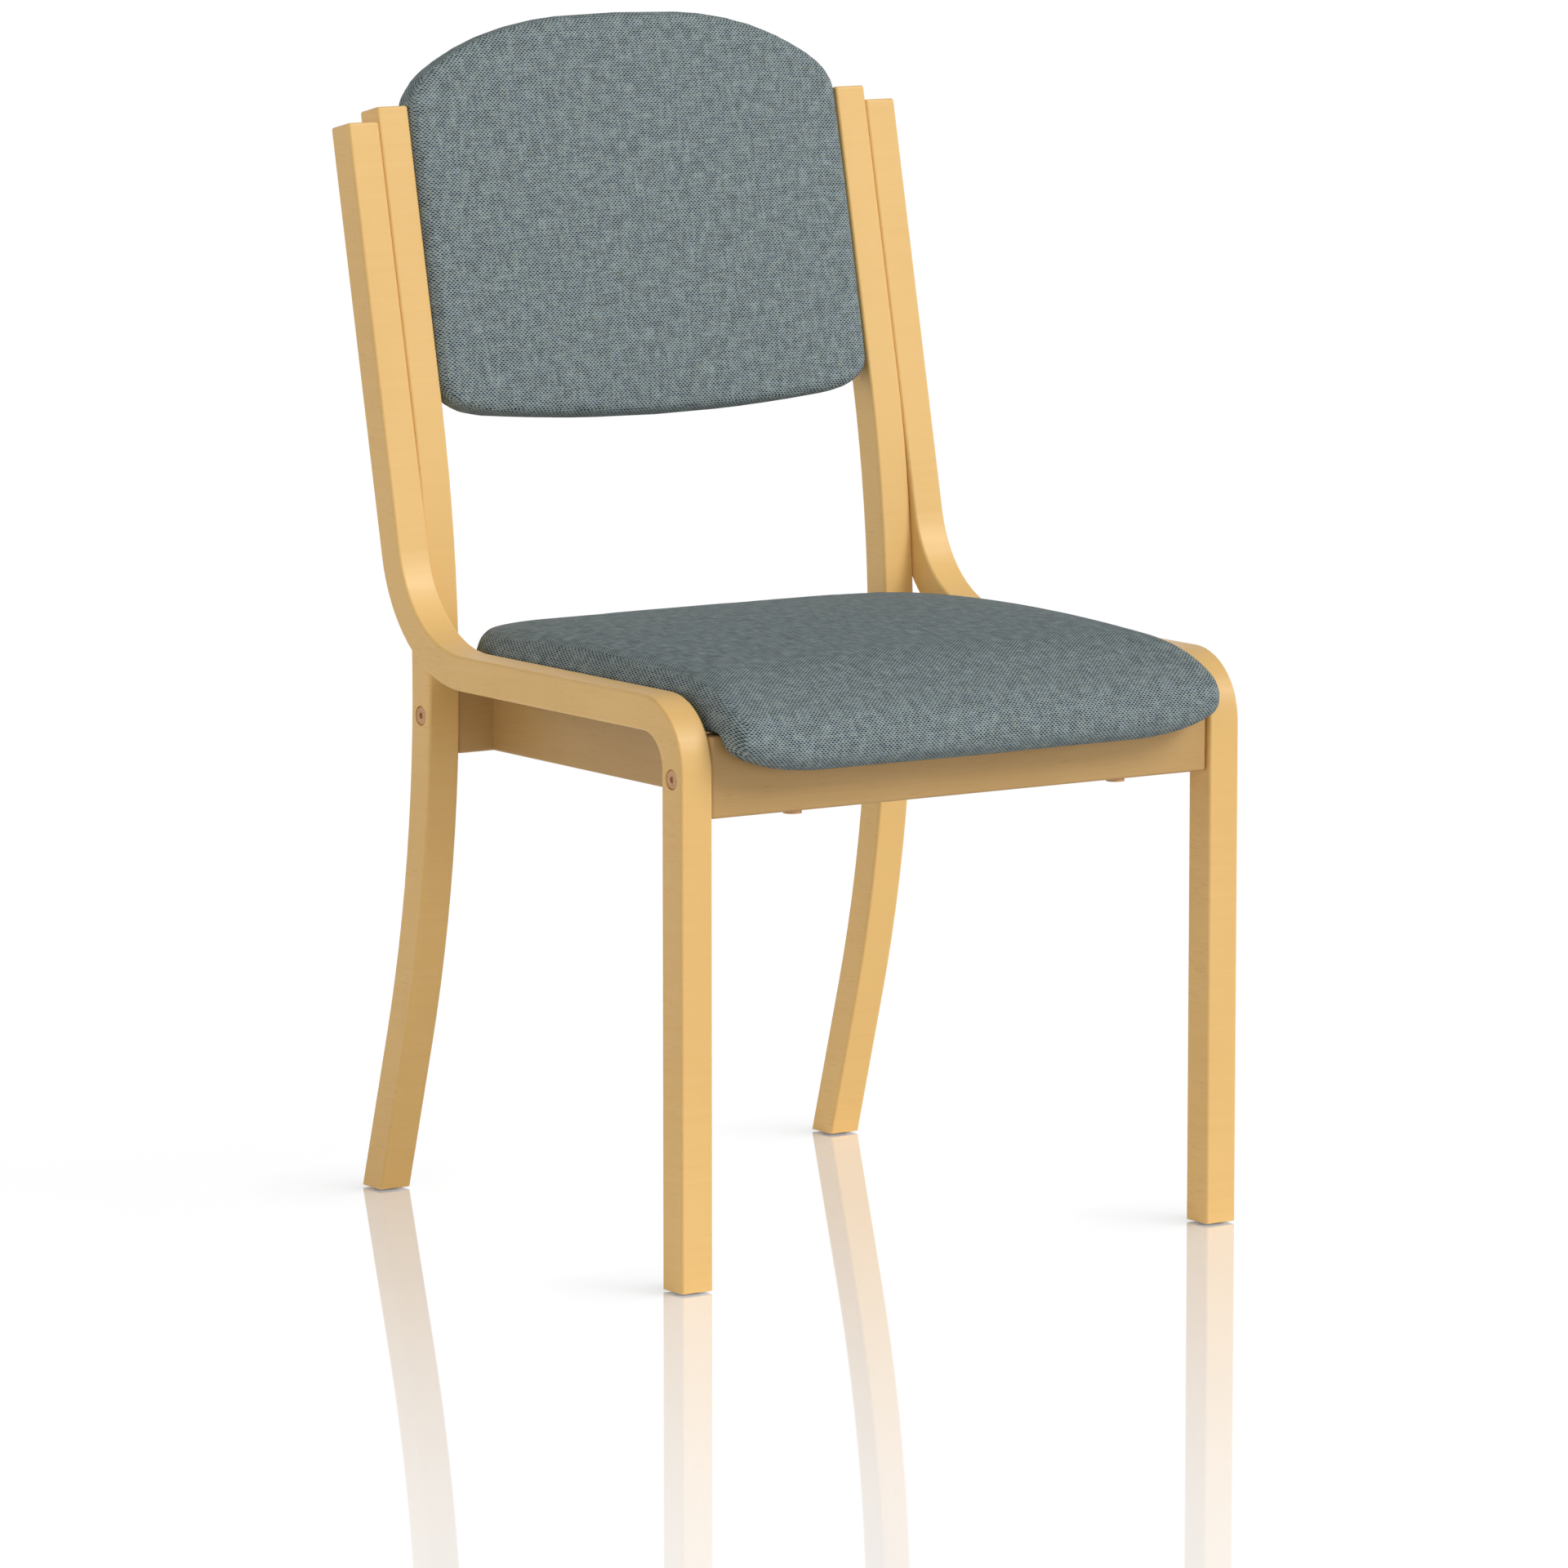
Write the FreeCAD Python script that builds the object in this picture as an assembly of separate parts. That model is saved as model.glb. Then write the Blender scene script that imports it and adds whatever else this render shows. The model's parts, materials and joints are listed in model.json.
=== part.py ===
import FreeCAD, Part
import math
import os

# Upholstered visitor chair with a bent laminated beech frame.
# Millimetres, +Z up, the sitter looks along -Y, the floor is z = 0 and x = 0 is the middle.

V = FreeCAD.Vector

# Frame members
overall_width = 500.0
member_width = 27.0
stock_depth = 26.5
edge_round = 2.2
frame_reach = 388.3
seat_rail_top = 435.0
bow_front_radius = 26.0
bow_rear_radius = 87.5
bow_top_height = 824.2
upright_top_height = 835.2
upright_radius = 993.5
upright_waist_height = 402.0
post_lean = 12.2
foot_splay = 16.7

# Rails under the seat
rail_top = 407.0
rail_height = 60.0
rail_depth = 20.0
rail_edge_round = 2.0
rail_end_round = 4.0
side_rail_width = 20.0
side_rail_inset = 31.4

# Connector bolts through the legs, with barrel nuts in the rails
leg_bolt_diameter = 6.0
leg_bolt_head_diameter = 14.5
leg_bolt_head_height = 2.2
leg_bolt_head_chamfer = 0.7
leg_bolt_recess = 0.4
leg_bolt_socket = 4.6
leg_bolt_socket_depth = 1.5
leg_bolt_reach = 34.0
barrel_nut_diameter = 10.0
barrel_nut_length = 14.0
barrel_nut_setback = 25.0

# Wooden dowels
dowel_diameter = 8.0
rail_dowel_in_leg = 14.0
rail_dowel_in_rail = 16.0
rail_dowel_offset = 18.0
side_dowel_in_rail = 10.0
side_dowel_in_side = 14.0
side_dowel_offset = 16.0
post_dowel_length = 24.0
post_dowel_count = 3
post_dowel_first = 48.8
post_dowel_pitch = 95.0

# Bolts that hold the seat, with tee nuts in its board
seat_bolt_diameter = 6.0
seat_bolt_head_diameter = 14.0
seat_bolt_head_height = 2.6
seat_bolt_socket = 4.0
seat_bolt_socket_depth = 1.8
front_seat_bolt_inset = 9.6
rear_seat_bolt_setback = 62.0
rear_seat_bolt_recess = 20.0
tee_nut_flange_diameter = 18.0
tee_nut_flange_height = 1.4
tee_nut_barrel_diameter = 8.0
tee_nut_barrel_length = 7.5
bolt_tip_margin = 1.0

# Seat cushion and its board
seat_overhang = 30.5
seat_rear_gap = 1.6
seat_side_gap = 5.6
seat_thickness = 40.8
seat_crown = 7.0
seat_crown_rear = 3.9
side_roll_width = 25.4
side_roll_drop = 27.0
under_round = 5.0
rear_corner_width = 90.5
rear_corner_depth = 71.0
front_corner_width = 10.8
front_corner_depth = 24.0
lip_depth = 28.7
lip_corner_width = 77.0
lip_corner_rise = 26.8
lip_rail_gap = 2.5
lip_bend = 6.0
nose_length = 105.0
nose_tip_length = 15.0
cover_thickness = 1.2
seat_board_thickness = 10.0
seat_board_margin = 12.0
seat_board_lip_margin = 2.0
hem_width = 28.0
lining_thickness = 0.8
lining_margin = 8.0

# How the seat's nose and rear roll share out its height
lip_tip_share = 0.22
lip_front_round_share = 0.8
lip_round_share = 0.2
nose_bend_share = 0.50
rear_roll_share = 0.54
rear_roll_slant = 0.91
crown_at_nose_share = 0.45

# Back cushion and its board
back_rise = 65.1
back_drop = 246.2
back_arch_power = 2.96
back_arch_fall = 54.4
back_top_corner_width = 24.0
back_top_corner_depth = 13.5
back_bottom_radius = 1500.0
back_bottom_corner_width = 37.0
back_bottom_corner_depth = 21.6
back_proud = 13.4
back_edge_proud = 6.0
back_side_roll_width = 12.0
back_side_roll_drop = 12.6
back_rear_depth = 20.0
back_board_thickness = 11.0
back_board_margin = 9.0
back_hem_width = 26.0
back_pin_diameter = 6.0
back_pin_in_post = 13.0
back_pin_in_board = 18.0
back_pin_heights = (-165.0, -45.0)

# How the back's edge rolls share out its depth, and the swell of its face
back_roll_share = 0.36
back_rear_top_share = 0.19
back_rear_bottom_share = 0.28
back_swell = 3.7
back_swell_loss = 0.8

# Foot glides
glide_height = 1.5
glide_chamfer = 0.5
glide_diameter = 19.0
glide_nail_diameter = 2.2
glide_nail_head_diameter = 6.0
glide_nail_head_height = 0.7
glide_nail_length = 13.0

# Clearances
hole_clearance = 0.2
thread_clearance = 0.1
head_clearance = 0.5
dowel_end_clearance = 0.8
soft_clearance = 0.3

os.makedirs("parts", exist_ok=True)

# Places that follow from the sizes above
lean = math.radians(post_lean)
splay = math.radians(foot_splay)
half_width = overall_width / 2.0
bow_inner = half_width - member_width
upright_inner = bow_inner - member_width
heel_run = (upright_waist_height - upright_radius * math.sin(splay) - glide_height) * math.tan(splay)
heel_reach = frame_reach + upright_radius * (1.0 - math.cos(splay)) + heel_run + stock_depth / math.cos(splay)
leg_front = (seat_overhang - heel_reach) / 2.0
waist_front = leg_front + frame_reach
lower_tangent = (waist_front + upright_radius * (1.0 - math.cos(splay)),
                 upright_waist_height - upright_radius * math.sin(splay))
upper_tangent = (waist_front + upright_radius * (1.0 - math.cos(lean)),
                 upright_waist_height + upright_radius * math.sin(lean))
rail_middle = rail_top - rail_height / 2.0
rail_bottom = rail_top - rail_height
front_rail_y = leg_front + stock_depth / 2.0
rear_rail_y = waist_front + stock_depth / 2.0
side_rail_x = upright_inner - side_rail_inset - side_rail_width / 2.0


def on_post(along, out):
    """Point (y, z) on the leaning post, along its front face from the post top and out from it."""
    top_y = upper_tangent[0] + (upright_top_height - upper_tangent[1]) * math.tan(lean)
    return (top_y + along * math.sin(lean) - out * math.cos(lean),
            upright_top_height + along * math.cos(lean) + out * math.sin(lean))


def at_x(x, point):
    return V(x, point[0], point[1])


def line(start, end, x=0.0):
    return Part.LineSegment(at_x(x, start), at_x(x, end)).toShape()


def centre_arc(centre, radius, start_angle, end_angle, x=0.0):
    """Arc about a centre in the side view, with angles from +Y towards +Z."""
    angles = (start_angle, (start_angle + end_angle) / 2.0, end_angle)
    points = [(centre[0] + radius * math.cos(a), centre[1] + radius * math.sin(a)) for a in angles]
    return Part.Arc(at_x(x, points[0]), at_x(x, points[1]), at_x(x, points[2])).toShape()


def tangent_arc(start, heading, end, x=0.0):
    """Arc that leaves start along heading and ends at end, with the heading there."""
    chord = (end[0] - start[0], end[1] - start[1])
    length = math.hypot(*chord)
    unit = (chord[0] / length, chord[1] / length)
    ahead = heading[0] * unit[0] + heading[1] * unit[1]
    aside = (heading[0] - ahead * unit[0], heading[1] - ahead * unit[1])
    swing = math.hypot(*aside)
    bulge = length / 2.0 * math.tan(math.atan2(swing, ahead) / 2.0)
    middle = tuple((start[i] + end[i]) / 2.0 + aside[i] / swing * bulge for i in (0, 1))
    last = (2.0 * ahead * unit[0] - heading[0], 2.0 * ahead * unit[1] - heading[1])
    return Part.Arc(at_x(x, start), at_x(x, middle), at_x(x, end)).toShape(), last


def bulged_arc(start, end, middle, x=0.0):
    return Part.Arc(at_x(x, start), at_x(x, middle), at_x(x, end)).toShape()


def prism(edges, x_start, x_end):
    face = Part.Face(Part.Wire(edges))
    face.translate(V(x_start, 0, 0))
    return face.extrude(V(x_end - x_start, 0, 0))


def box(x0, x1, y0, y1, z0, z1):
    return Part.makeBox(x1 - x0, y1 - y0, z1 - z0, V(x0, y0, z0))


def rod(start, direction, radius, length):
    return Part.makeCylinder(radius, length, start, direction)


def hex_rod(start, direction, across_flats, depth):
    corner = across_flats / math.sqrt(3.0)
    side = V(0, 0, 1).cross(direction)
    side = side if side.Length > 0.5 else V(1, 0, 0)
    other = direction.cross(side)
    points = []
    for k in range(7):
        turn = math.radians(60.0 * k)
        points.append(start + side * (corner * math.cos(turn)) + other * (corner * math.sin(turn)))
    return Part.Face(Part.makePolygon(points)).extrude(direction * depth)


def mirrored(shape):
    return shape.mirror(V(0, 0, 0), V(1, 0, 0))


def both_sides(shape):
    return [shape, mirrored(shape)]


def on_both_sides(shapes):
    return [side for shape in shapes for side in both_sides(shape)]


def rounded(solid, radius, keep):
    return solid.makeFillet(radius, [edge for edge in solid.Edges if keep(edge)])


def runs_along_x(edge):
    ends = edge.Vertexes
    return len(ends) == 2 and abs(ends[0].Y - ends[1].Y) + abs(ends[0].Z - ends[1].Z) < 1e-6


def member_edge(top):
    """Tells the edges of a bent member that are eased: all but its foot and the joins of its bends."""
    def keep(edge):
        if runs_along_x(edge):
            return edge.BoundBox.ZMin > top - stock_depth * math.sin(lean) - 1.0
        return edge.BoundBox.ZMax > glide_height + 0.01
    return keep


def upright_solid():
    """Rear leg and back post in one curve: splayed foot, wide arc, leaning post."""
    centre = (waist_front + upright_radius, upright_waist_height)
    back_radius = upright_radius - stock_depth
    foot = (lower_tangent[0] + (lower_tangent[1] - glide_height) * math.tan(splay), glide_height)
    heel = (foot[0] + stock_depth / math.cos(splay), glide_height)
    top = on_post(0.0, 0.0)
    top_back = on_post(0.0, -stock_depth)
    low = math.pi + splay
    high = math.pi - lean
    low_back = (centre[0] + back_radius * math.cos(low), centre[1] + back_radius * math.sin(low))
    high_back = (centre[0] + back_radius * math.cos(high), centre[1] + back_radius * math.sin(high))
    edges = [line(foot, lower_tangent), centre_arc(centre, upright_radius, low, high),
             line(upper_tangent, top), line(top, top_back), line(top_back, high_back),
             centre_arc(centre, back_radius, high, low), line(low_back, heel), line(heel, foot)]
    solid = prism(edges, upright_inner, bow_inner)
    return rounded(solid, edge_round, member_edge(upright_top_height))


def bow_solid():
    """Front leg, seat rail and back post bent from one laminated strip."""
    rail_low = seat_rail_top - stock_depth
    leg_back = leg_front + stock_depth
    front_centre = (leg_back + bow_front_radius, rail_low - bow_front_radius)
    front_outer = bow_front_radius + stock_depth
    rear_outer = bow_rear_radius + stock_depth
    centre_z = seat_rail_top + bow_rear_radius
    sideways = (centre_z - upper_tangent[1]) * math.sin(lean) - bow_rear_radius
    rear_centre = (upper_tangent[0] + sideways / math.cos(lean), centre_z)
    down = -math.pi / 2.0
    lean_out = -lean
    post_front = (rear_centre[0] + bow_rear_radius * math.cos(lean_out),
                  rear_centre[1] + bow_rear_radius * math.sin(lean_out))
    post_back = (rear_centre[0] + rear_outer * math.cos(lean_out),
                 rear_centre[1] + rear_outer * math.sin(lean_out))
    below_top = (bow_top_height - upright_top_height) / math.cos(lean)
    top = on_post(below_top, 0.0)
    top_back = on_post(below_top, -stock_depth)
    edges = [line((leg_front, glide_height), (leg_front, front_centre[1])),
             centre_arc(front_centre, front_outer, math.pi, math.pi / 2.0),
             line((front_centre[0], seat_rail_top), (rear_centre[0], seat_rail_top)),
             centre_arc(rear_centre, bow_rear_radius, down, lean_out),
             line(post_front, top), line(top, top_back), line(top_back, post_back),
             centre_arc(rear_centre, rear_outer, lean_out, down),
             line((rear_centre[0], rail_low), (front_centre[0], rail_low)),
             centre_arc(front_centre, bow_front_radius, math.pi / 2.0, math.pi),
             line((leg_back, front_centre[1]), (leg_back, glide_height)),
             line((leg_back, glide_height), (leg_front, glide_height))]
    solid = prism(edges, bow_inner, half_width)
    return rounded(solid, edge_round, member_edge(bow_top_height))


def cross_rail(half_length, middle_y):
    """Rail between two legs: long edges eased, upright edges at the ends of its front rounder."""
    solid = box(-half_length, half_length, middle_y - rail_depth / 2.0, middle_y + rail_depth / 2.0,
                rail_bottom, rail_top)

    def end_edge(edge):
        return edge.BoundBox.ZLength > rail_height / 2.0 and edge.BoundBox.YMax < middle_y

    def long_edge(edge):
        return edge.BoundBox.XLength > half_length

    return rounded(rounded(solid, rail_end_round, end_edge), rail_edge_round, long_edge)


def side_rail_solid():
    front = front_rail_y + rail_depth / 2.0
    rear = rear_rail_y - rail_depth / 2.0
    solid = box(side_rail_x - side_rail_width / 2.0, side_rail_x + side_rail_width / 2.0, front, rear,
                rail_bottom, rail_top)
    return rounded(solid, rail_edge_round, lambda edge: edge.BoundBox.YLength > side_rail_width * 2.0)


def leg_bolt(face_x, y):
    """Flat-headed connector bolt, pushed in along -X from the leg's outer face."""
    seat_x = face_x - leg_bolt_recess - leg_bolt_head_height
    tip_x = face_x - member_width - leg_bolt_reach
    head = rod(V(seat_x, y, rail_middle), V(1, 0, 0), leg_bolt_head_diameter / 2.0, leg_bolt_head_height)
    middle_x = seat_x + leg_bolt_head_height / 2.0
    head = head.makeChamfer(leg_bolt_head_chamfer, [e for e in head.Edges if e.BoundBox.XMin > middle_x])
    shank = rod(V(tip_x, y, rail_middle), V(1, 0, 0), leg_bolt_diameter / 2.0, seat_x - tip_x)
    socket_start = V(face_x - leg_bolt_recess, y, rail_middle)
    socket = hex_rod(socket_start, V(-1, 0, 0), leg_bolt_socket, leg_bolt_socket_depth)
    return head.fuse(shank).removeSplitter().cut(socket)


def leg_bolt_hole(face_x, y):
    seat_x = face_x - leg_bolt_recess - leg_bolt_head_height
    tip_x = face_x - member_width - leg_bolt_reach - dowel_end_clearance
    bore_radius = (leg_bolt_diameter + hole_clearance) / 2.0
    bore = rod(V(tip_x, y, rail_middle), V(1, 0, 0), bore_radius, face_x - tip_x)
    counterbore = rod(V(seat_x, y, rail_middle), V(1, 0, 0), (leg_bolt_head_diameter + head_clearance) / 2.0,
                      leg_bolt_recess + leg_bolt_head_height)
    return bore.fuse(counterbore)


def barrel_nut(face_x, y):
    """Cross nut that the leg bolt screws into, lying along Y in the rail."""
    x = face_x - member_width - barrel_nut_setback
    nut = rod(V(x, y - barrel_nut_length / 2.0, rail_middle), V(0, 1, 0), barrel_nut_diameter / 2.0,
              barrel_nut_length)
    bore = rod(V(x - barrel_nut_diameter, y, rail_middle), V(1, 0, 0),
               (leg_bolt_diameter + thread_clearance) / 2.0, 2.0 * barrel_nut_diameter)
    return nut.cut(bore)


def barrel_nut_hole(face_x, y, inner_y):
    """Blind hole for a barrel nut, drilled from the hidden face of the rail."""
    x = face_x - member_width - barrel_nut_setback
    toward = 1.0 if inner_y > y else -1.0
    start = V(x, y - toward * barrel_nut_length / 2.0, rail_middle)
    return rod(start, V(0, toward, 0), (barrel_nut_diameter + hole_clearance) / 2.0,
               barrel_nut_length / 2.0 + abs(inner_y - y))


def dowel(start, direction, length, room=0.0):
    """Dowel, or with room the hole for it, which is wider and longer at both ends."""
    end_room = dowel_end_clearance if room else 0.0
    radius = (dowel_diameter + room) / 2.0
    return rod(start - direction * end_room, direction, radius, length + 2.0 * end_room)


def rail_dowels(face_x, y, room=0.0):
    length = rail_dowel_in_leg + rail_dowel_in_rail
    heights = (rail_middle - rail_dowel_offset, rail_middle + rail_dowel_offset)
    return [dowel(V(face_x - rail_dowel_in_rail, y, z), V(1, 0, 0), length, room) for z in heights]


def side_rail_dowels(room=0.0):
    length = side_dowel_in_rail + side_dowel_in_side
    starts = (front_rail_y + rail_depth / 2.0 - side_dowel_in_rail,
              rear_rail_y - rail_depth / 2.0 - side_dowel_in_side)
    heights = (rail_middle - side_dowel_offset, rail_middle + side_dowel_offset)
    return [dowel(V(side_rail_x, y, z), V(0, 1, 0), length, room) for y in starts for z in heights]


def post_dowels(room=0.0):
    """Dowels between bow and upright, down from the lower of their two tops, or with room their holes."""
    shared_top = (min(bow_top_height, upright_top_height) - upright_top_height) / math.cos(lean)
    found = []
    for k in range(post_dowel_count):
        y, z = on_post(shared_top - post_dowel_first - k * post_dowel_pitch, -stock_depth / 2.0)
        found.append(dowel(V(bow_inner - post_dowel_length / 2.0, y, z), V(1, 0, 0), post_dowel_length, room))
    return found


def corner_fall(width, depth, inward):
    """How far an elliptical corner has fallen back at a distance in from its side."""
    reach = min(max(1.0 - inward / width, 0.0), 1.0)
    return depth * (1.0 - math.sqrt(1.0 - reach * reach))


def with_mirror(distances, half):
    """Stations across the chair, from one side to the other, for distances in from each side."""
    inner = [half - d for d in distances]
    return [-x for x in inner] + [0.0] + list(reversed(inner))


# Seat levels: lining on the rails, hem on the lining, board on the hem
lining_bottom = rail_top
seat_base = lining_bottom + lining_thickness
board_bottom = seat_base + cover_thickness + soft_clearance
board_top = board_bottom + seat_board_thickness
seat_half = bow_inner - seat_side_gap
seat_rear = waist_front - seat_rear_gap
seat_nose = leg_front - seat_overhang
lip_inner = front_rail_y - rail_depth / 2.0 - lip_rail_gap


def lip_level(x, inset):
    """Lowest level of the seat's front lip at x, drawn in by inset."""
    rise = corner_fall(lip_corner_width, lip_corner_rise, seat_half - inset - abs(x))
    return seat_base + inset - lip_depth + rise


def seat_section(x, inset):
    """Side-view outline of the seat cushion at x, drawn in by inset all round."""
    inward = seat_half - inset - abs(x)
    crown = 1.0 - (x / seat_half) ** 2
    bottom = seat_base + inset + corner_fall(under_round, under_round, inward)
    top = seat_base + seat_thickness - inset - corner_fall(side_roll_width, side_roll_drop, inward)
    lip_low = lip_level(x, inset)
    lip_back = lip_inner - inset
    nose = seat_nose + inset + corner_fall(front_corner_width, front_corner_depth, inward)
    rear = seat_rear - inset - corner_fall(rear_corner_width, rear_corner_depth, inward)
    lip_round = lip_round_share * (bottom - lip_low)
    lip_turn = min(lip_bend + inset, (bottom - lip_low) / 2.0)
    fullness = (top - lip_low) / (seat_thickness + lip_depth)
    nose_top = (nose + nose_length * fullness, top + crown_at_nose_share * seat_crown * crown)
    low_back = (lip_back, lip_low + lip_round)
    low = (lip_back - lip_round, lip_low)
    front_round = min(lip_tip_share * (nose_top[1] - lip_low), lip_front_round_share * (low[0] - nose))
    low_front = (nose + front_round, lip_low)
    tip = (nose, lip_low + front_round)
    bend = (nose + nose_tip_length * fullness, tip[1] + nose_bend_share * (nose_top[1] - tip[1]))
    roll = rear_roll_share * (top - bottom)
    rear_top = (rear - roll * rear_roll_slant, top)
    wall = (rear, top - roll)
    middle = ((nose_top[0] + rear_top[0]) / 2.0, top + seat_crown_rear + seat_crown * crown)
    tip_arc, heading = tangent_arc(tip, (0.0, 1.0), bend, x)
    edges = [line((lip_back, bottom - lip_turn), low_back, x),
             tangent_arc(low_back, (0.0, -1.0), low, x)[0],
             line(low, low_front, x),
             tangent_arc(tip, (0.0, -1.0), low_front, x)[0],
             tip_arc,
             tangent_arc(bend, heading, nose_top, x)[0],
             bulged_arc(nose_top, rear_top, middle, x),
             tangent_arc(wall, (0.0, 1.0), rear_top, x)[0],
             line(wall, (rear, bottom), x),
             line((rear, bottom), (lip_back + lip_turn, bottom), x),
             tangent_arc((lip_back, bottom - lip_turn), (0.0, 1.0), (lip_back + lip_turn, bottom), x)[0]]
    return Part.Wire(Part.__sortEdges__(edges))


def seat_form(inset):
    distances = [side_roll_width * share for share in (0.0, 0.03, 0.09, 0.2, 0.4, 0.65, 1.0)]
    distances += [lip_corner_width * share for share in (0.45, 0.6, 0.8, 1.0, 1.5, 2.1)]
    stations = with_mirror(distances, seat_half - inset)
    return Part.makeLoft([seat_section(x, inset) for x in stations], True, True)


def smooth_curve(points):
    curve = Part.BSplineCurve()
    curve.interpolate(points)
    return curve.toShape()


def drawn_face(curves, corners):
    """Face inside smooth curves, given as lists of points, and straight edges between pairs of corners."""
    edges = [smooth_curve(points) for points in curves]
    edges += [Part.LineSegment(start, end).toShape() for start, end in corners]
    return Part.Face(Part.Wire(Part.__sortEdges__(edges)))


def lip_outline(margin, half, y):
    """Front-view outline of the seat board: flat along the lip, rounded up to its sides."""
    flat = seat_half - margin - lip_corner_width
    right = []
    for k in range(8):
        x = flat + (half - flat) * math.sin(math.radians(90.0 * k / 7.0))
        right.append(V(x, y, lip_level(x, margin)))
    left = [V(-p.x, y, p.z) for p in right]
    high = board_top + 1.0
    high_right = V(half, y, high)
    high_left = V(-half, y, high)
    straight = [(left[0], right[0]), (right[-1], high_right), (high_right, high_left), (high_left, left[-1])]
    return drawn_face([right, left], straight)


def seat_plan(inset, front, level):
    """Plan of the seat drawn in by inset, from a straight front edge to its rounded rear corners."""
    half = seat_half - inset
    middle = (half - rear_corner_width, seat_rear - inset - rear_corner_depth)
    right = []
    for k in range(8):
        turn = math.radians(90.0 * k / 7.0)
        x = middle[0] + rear_corner_width * math.sin(turn)
        right.append(V(x, middle[1] + rear_corner_depth * math.cos(turn), level))
    left = [V(-p.x, p.y, level) for p in right]
    near_right = V(half, front, level)
    near_left = V(-half, front, level)
    straight = [(left[0], right[0]), (right[-1], near_right), (near_right, near_left), (near_left, left[-1])]
    return drawn_face([right, left], straight)


def seat_board_solid():
    """Moulded plywood board whose front edge bends down behind the padded nose."""
    half = seat_half - seat_board_margin
    inner = lip_inner - cover_thickness - soft_clearance
    outer = inner - seat_board_thickness
    inner_bend = lip_bend + cover_thickness + soft_clearance
    outer_bend = inner_bend + seat_board_thickness
    bend_centre = (inner + inner_bend, board_bottom - inner_bend)
    foot = board_bottom - lip_depth
    rear = seat_rear - seat_board_margin
    quarter = math.pi / 2.0
    edges = [line((rear, board_bottom), (rear, board_top)),
             line((rear, board_top), (bend_centre[0], board_top)),
             centre_arc(bend_centre, outer_bend, quarter, math.pi),
             line((outer, bend_centre[1]), (outer, foot)),
             line((outer, foot), (inner, foot)),
             line((inner, foot), (inner, bend_centre[1])),
             centre_arc(bend_centre, inner_bend, math.pi, quarter),
             line((bend_centre[0], board_bottom), (rear, board_bottom))]
    bent = prism(edges, -seat_half, seat_half)
    lip_rise = seat_board_lip_margin + lip_round_share * lip_depth
    front_view = lip_outline(lip_rise, half, outer - 1.0)
    plan = seat_plan(seat_board_margin, outer - 1.0, foot - 1.0)
    return bent.common(front_view.extrude(V(0, rear - outer + 2.0, 0))).common(
        plan.extrude(V(0, 0, board_top - foot + 2.0)))


# Back cushion levels, out from the front face of the posts
back_half = upright_inner - soft_clearance
back_board_rear = cover_thickness + soft_clearance - back_rear_depth
back_board_front = back_board_rear + back_board_thickness


def back_outline(x, inset):
    """Top and bottom of the back cushion at x, along the posts from their tops."""
    inward = max(back_half - inset - abs(x), 0.0)
    arch = back_arch_fall * (abs(x) / back_half) ** back_arch_power
    top = back_rise - inset - arch - corner_fall(back_top_corner_width, back_top_corner_depth, inward)
    sag = x * x / (2.0 * back_bottom_radius)
    rise = corner_fall(back_bottom_corner_width, back_bottom_corner_depth, inward)
    bottom = inset - back_drop + sag + rise
    return top, bottom


def back_section(x, inset):
    """Side-view outline of the back cushion at x, drawn in by inset all round."""
    inward = max(back_half - inset - abs(x), 0.0)
    top, bottom = back_outline(x, inset)
    crown = (back_proud - back_edge_proud) * (1.0 - (x / back_half) ** 2)
    drop = corner_fall(back_side_roll_width, back_side_roll_drop, inward)
    face = back_edge_proud + crown - inset - drop
    rear = inset - back_rear_depth
    edge = face - back_swell * (1.0 - back_swell_loss * (x / back_half) ** 2)
    roll = back_roll_share * (edge - rear)
    top_roll = back_rear_top_share * (edge - rear)
    bottom_roll = back_rear_bottom_share * (edge - rear)
    up = (math.sin(lean), math.cos(lean))
    down = (-up[0], -up[1])
    low_front = on_post(bottom + roll, edge)
    high_front = on_post(top - roll, edge)
    high = on_post(top, edge - roll)
    high_rear = on_post(top, rear + top_roll)
    rear_high = on_post(top - top_roll, rear)
    rear_low = on_post(bottom + bottom_roll, rear)
    low_rear = on_post(bottom, rear + bottom_roll)
    low = on_post(bottom, edge - roll)
    edges = [bulged_arc(low_front, high_front, on_post((top + bottom) / 2.0, face), x),
             tangent_arc(high_front, up, high, x)[0],
             line(high, high_rear, x),
             tangent_arc(rear_high, up, high_rear, x)[0],
             line(rear_high, rear_low, x),
             tangent_arc(rear_low, down, low_rear, x)[0],
             line(low_rear, low, x),
             tangent_arc(low_front, down, low, x)[0]]
    return Part.Wire(Part.__sortEdges__(edges))


def back_form(inset):
    distances = [back_side_roll_width * share for share in (0.0, 0.04, 0.13, 0.3, 0.55, 0.85)]
    distances += [back_bottom_corner_width * share for share in (0.42, 0.62, 1.0, 1.45, 2.0, 2.6, 3.2, 3.8)]
    stations = with_mirror(distances, back_half - inset)
    return Part.makeLoft([back_section(x, inset) for x in stations], True, True)


def back_plate(inset, out_start, out_end):
    """Flat plate in the plane of the back, with the cushion's outline drawn in by inset."""
    half = back_half - inset
    shares = (0.0, 0.02, 0.06, 0.12, 0.2, 0.35, 0.6, 1.0)
    stations = [-half * (1.0 - s) for s in shares] + [half * (1.0 - s) for s in reversed(shares[:-1])]
    tops = [at_x(x, on_post(back_outline(x, inset)[0], out_start)) for x in stations]
    bottoms = [at_x(x, on_post(back_outline(x, inset)[1], out_start)) for x in stations]
    depth = out_end - out_start
    face = drawn_face([tops, bottoms], [(tops[-1], bottoms[-1]), (bottoms[0], tops[0])])
    return face.extrude(V(0, -depth * math.cos(lean), depth * math.sin(lean)))


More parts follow.
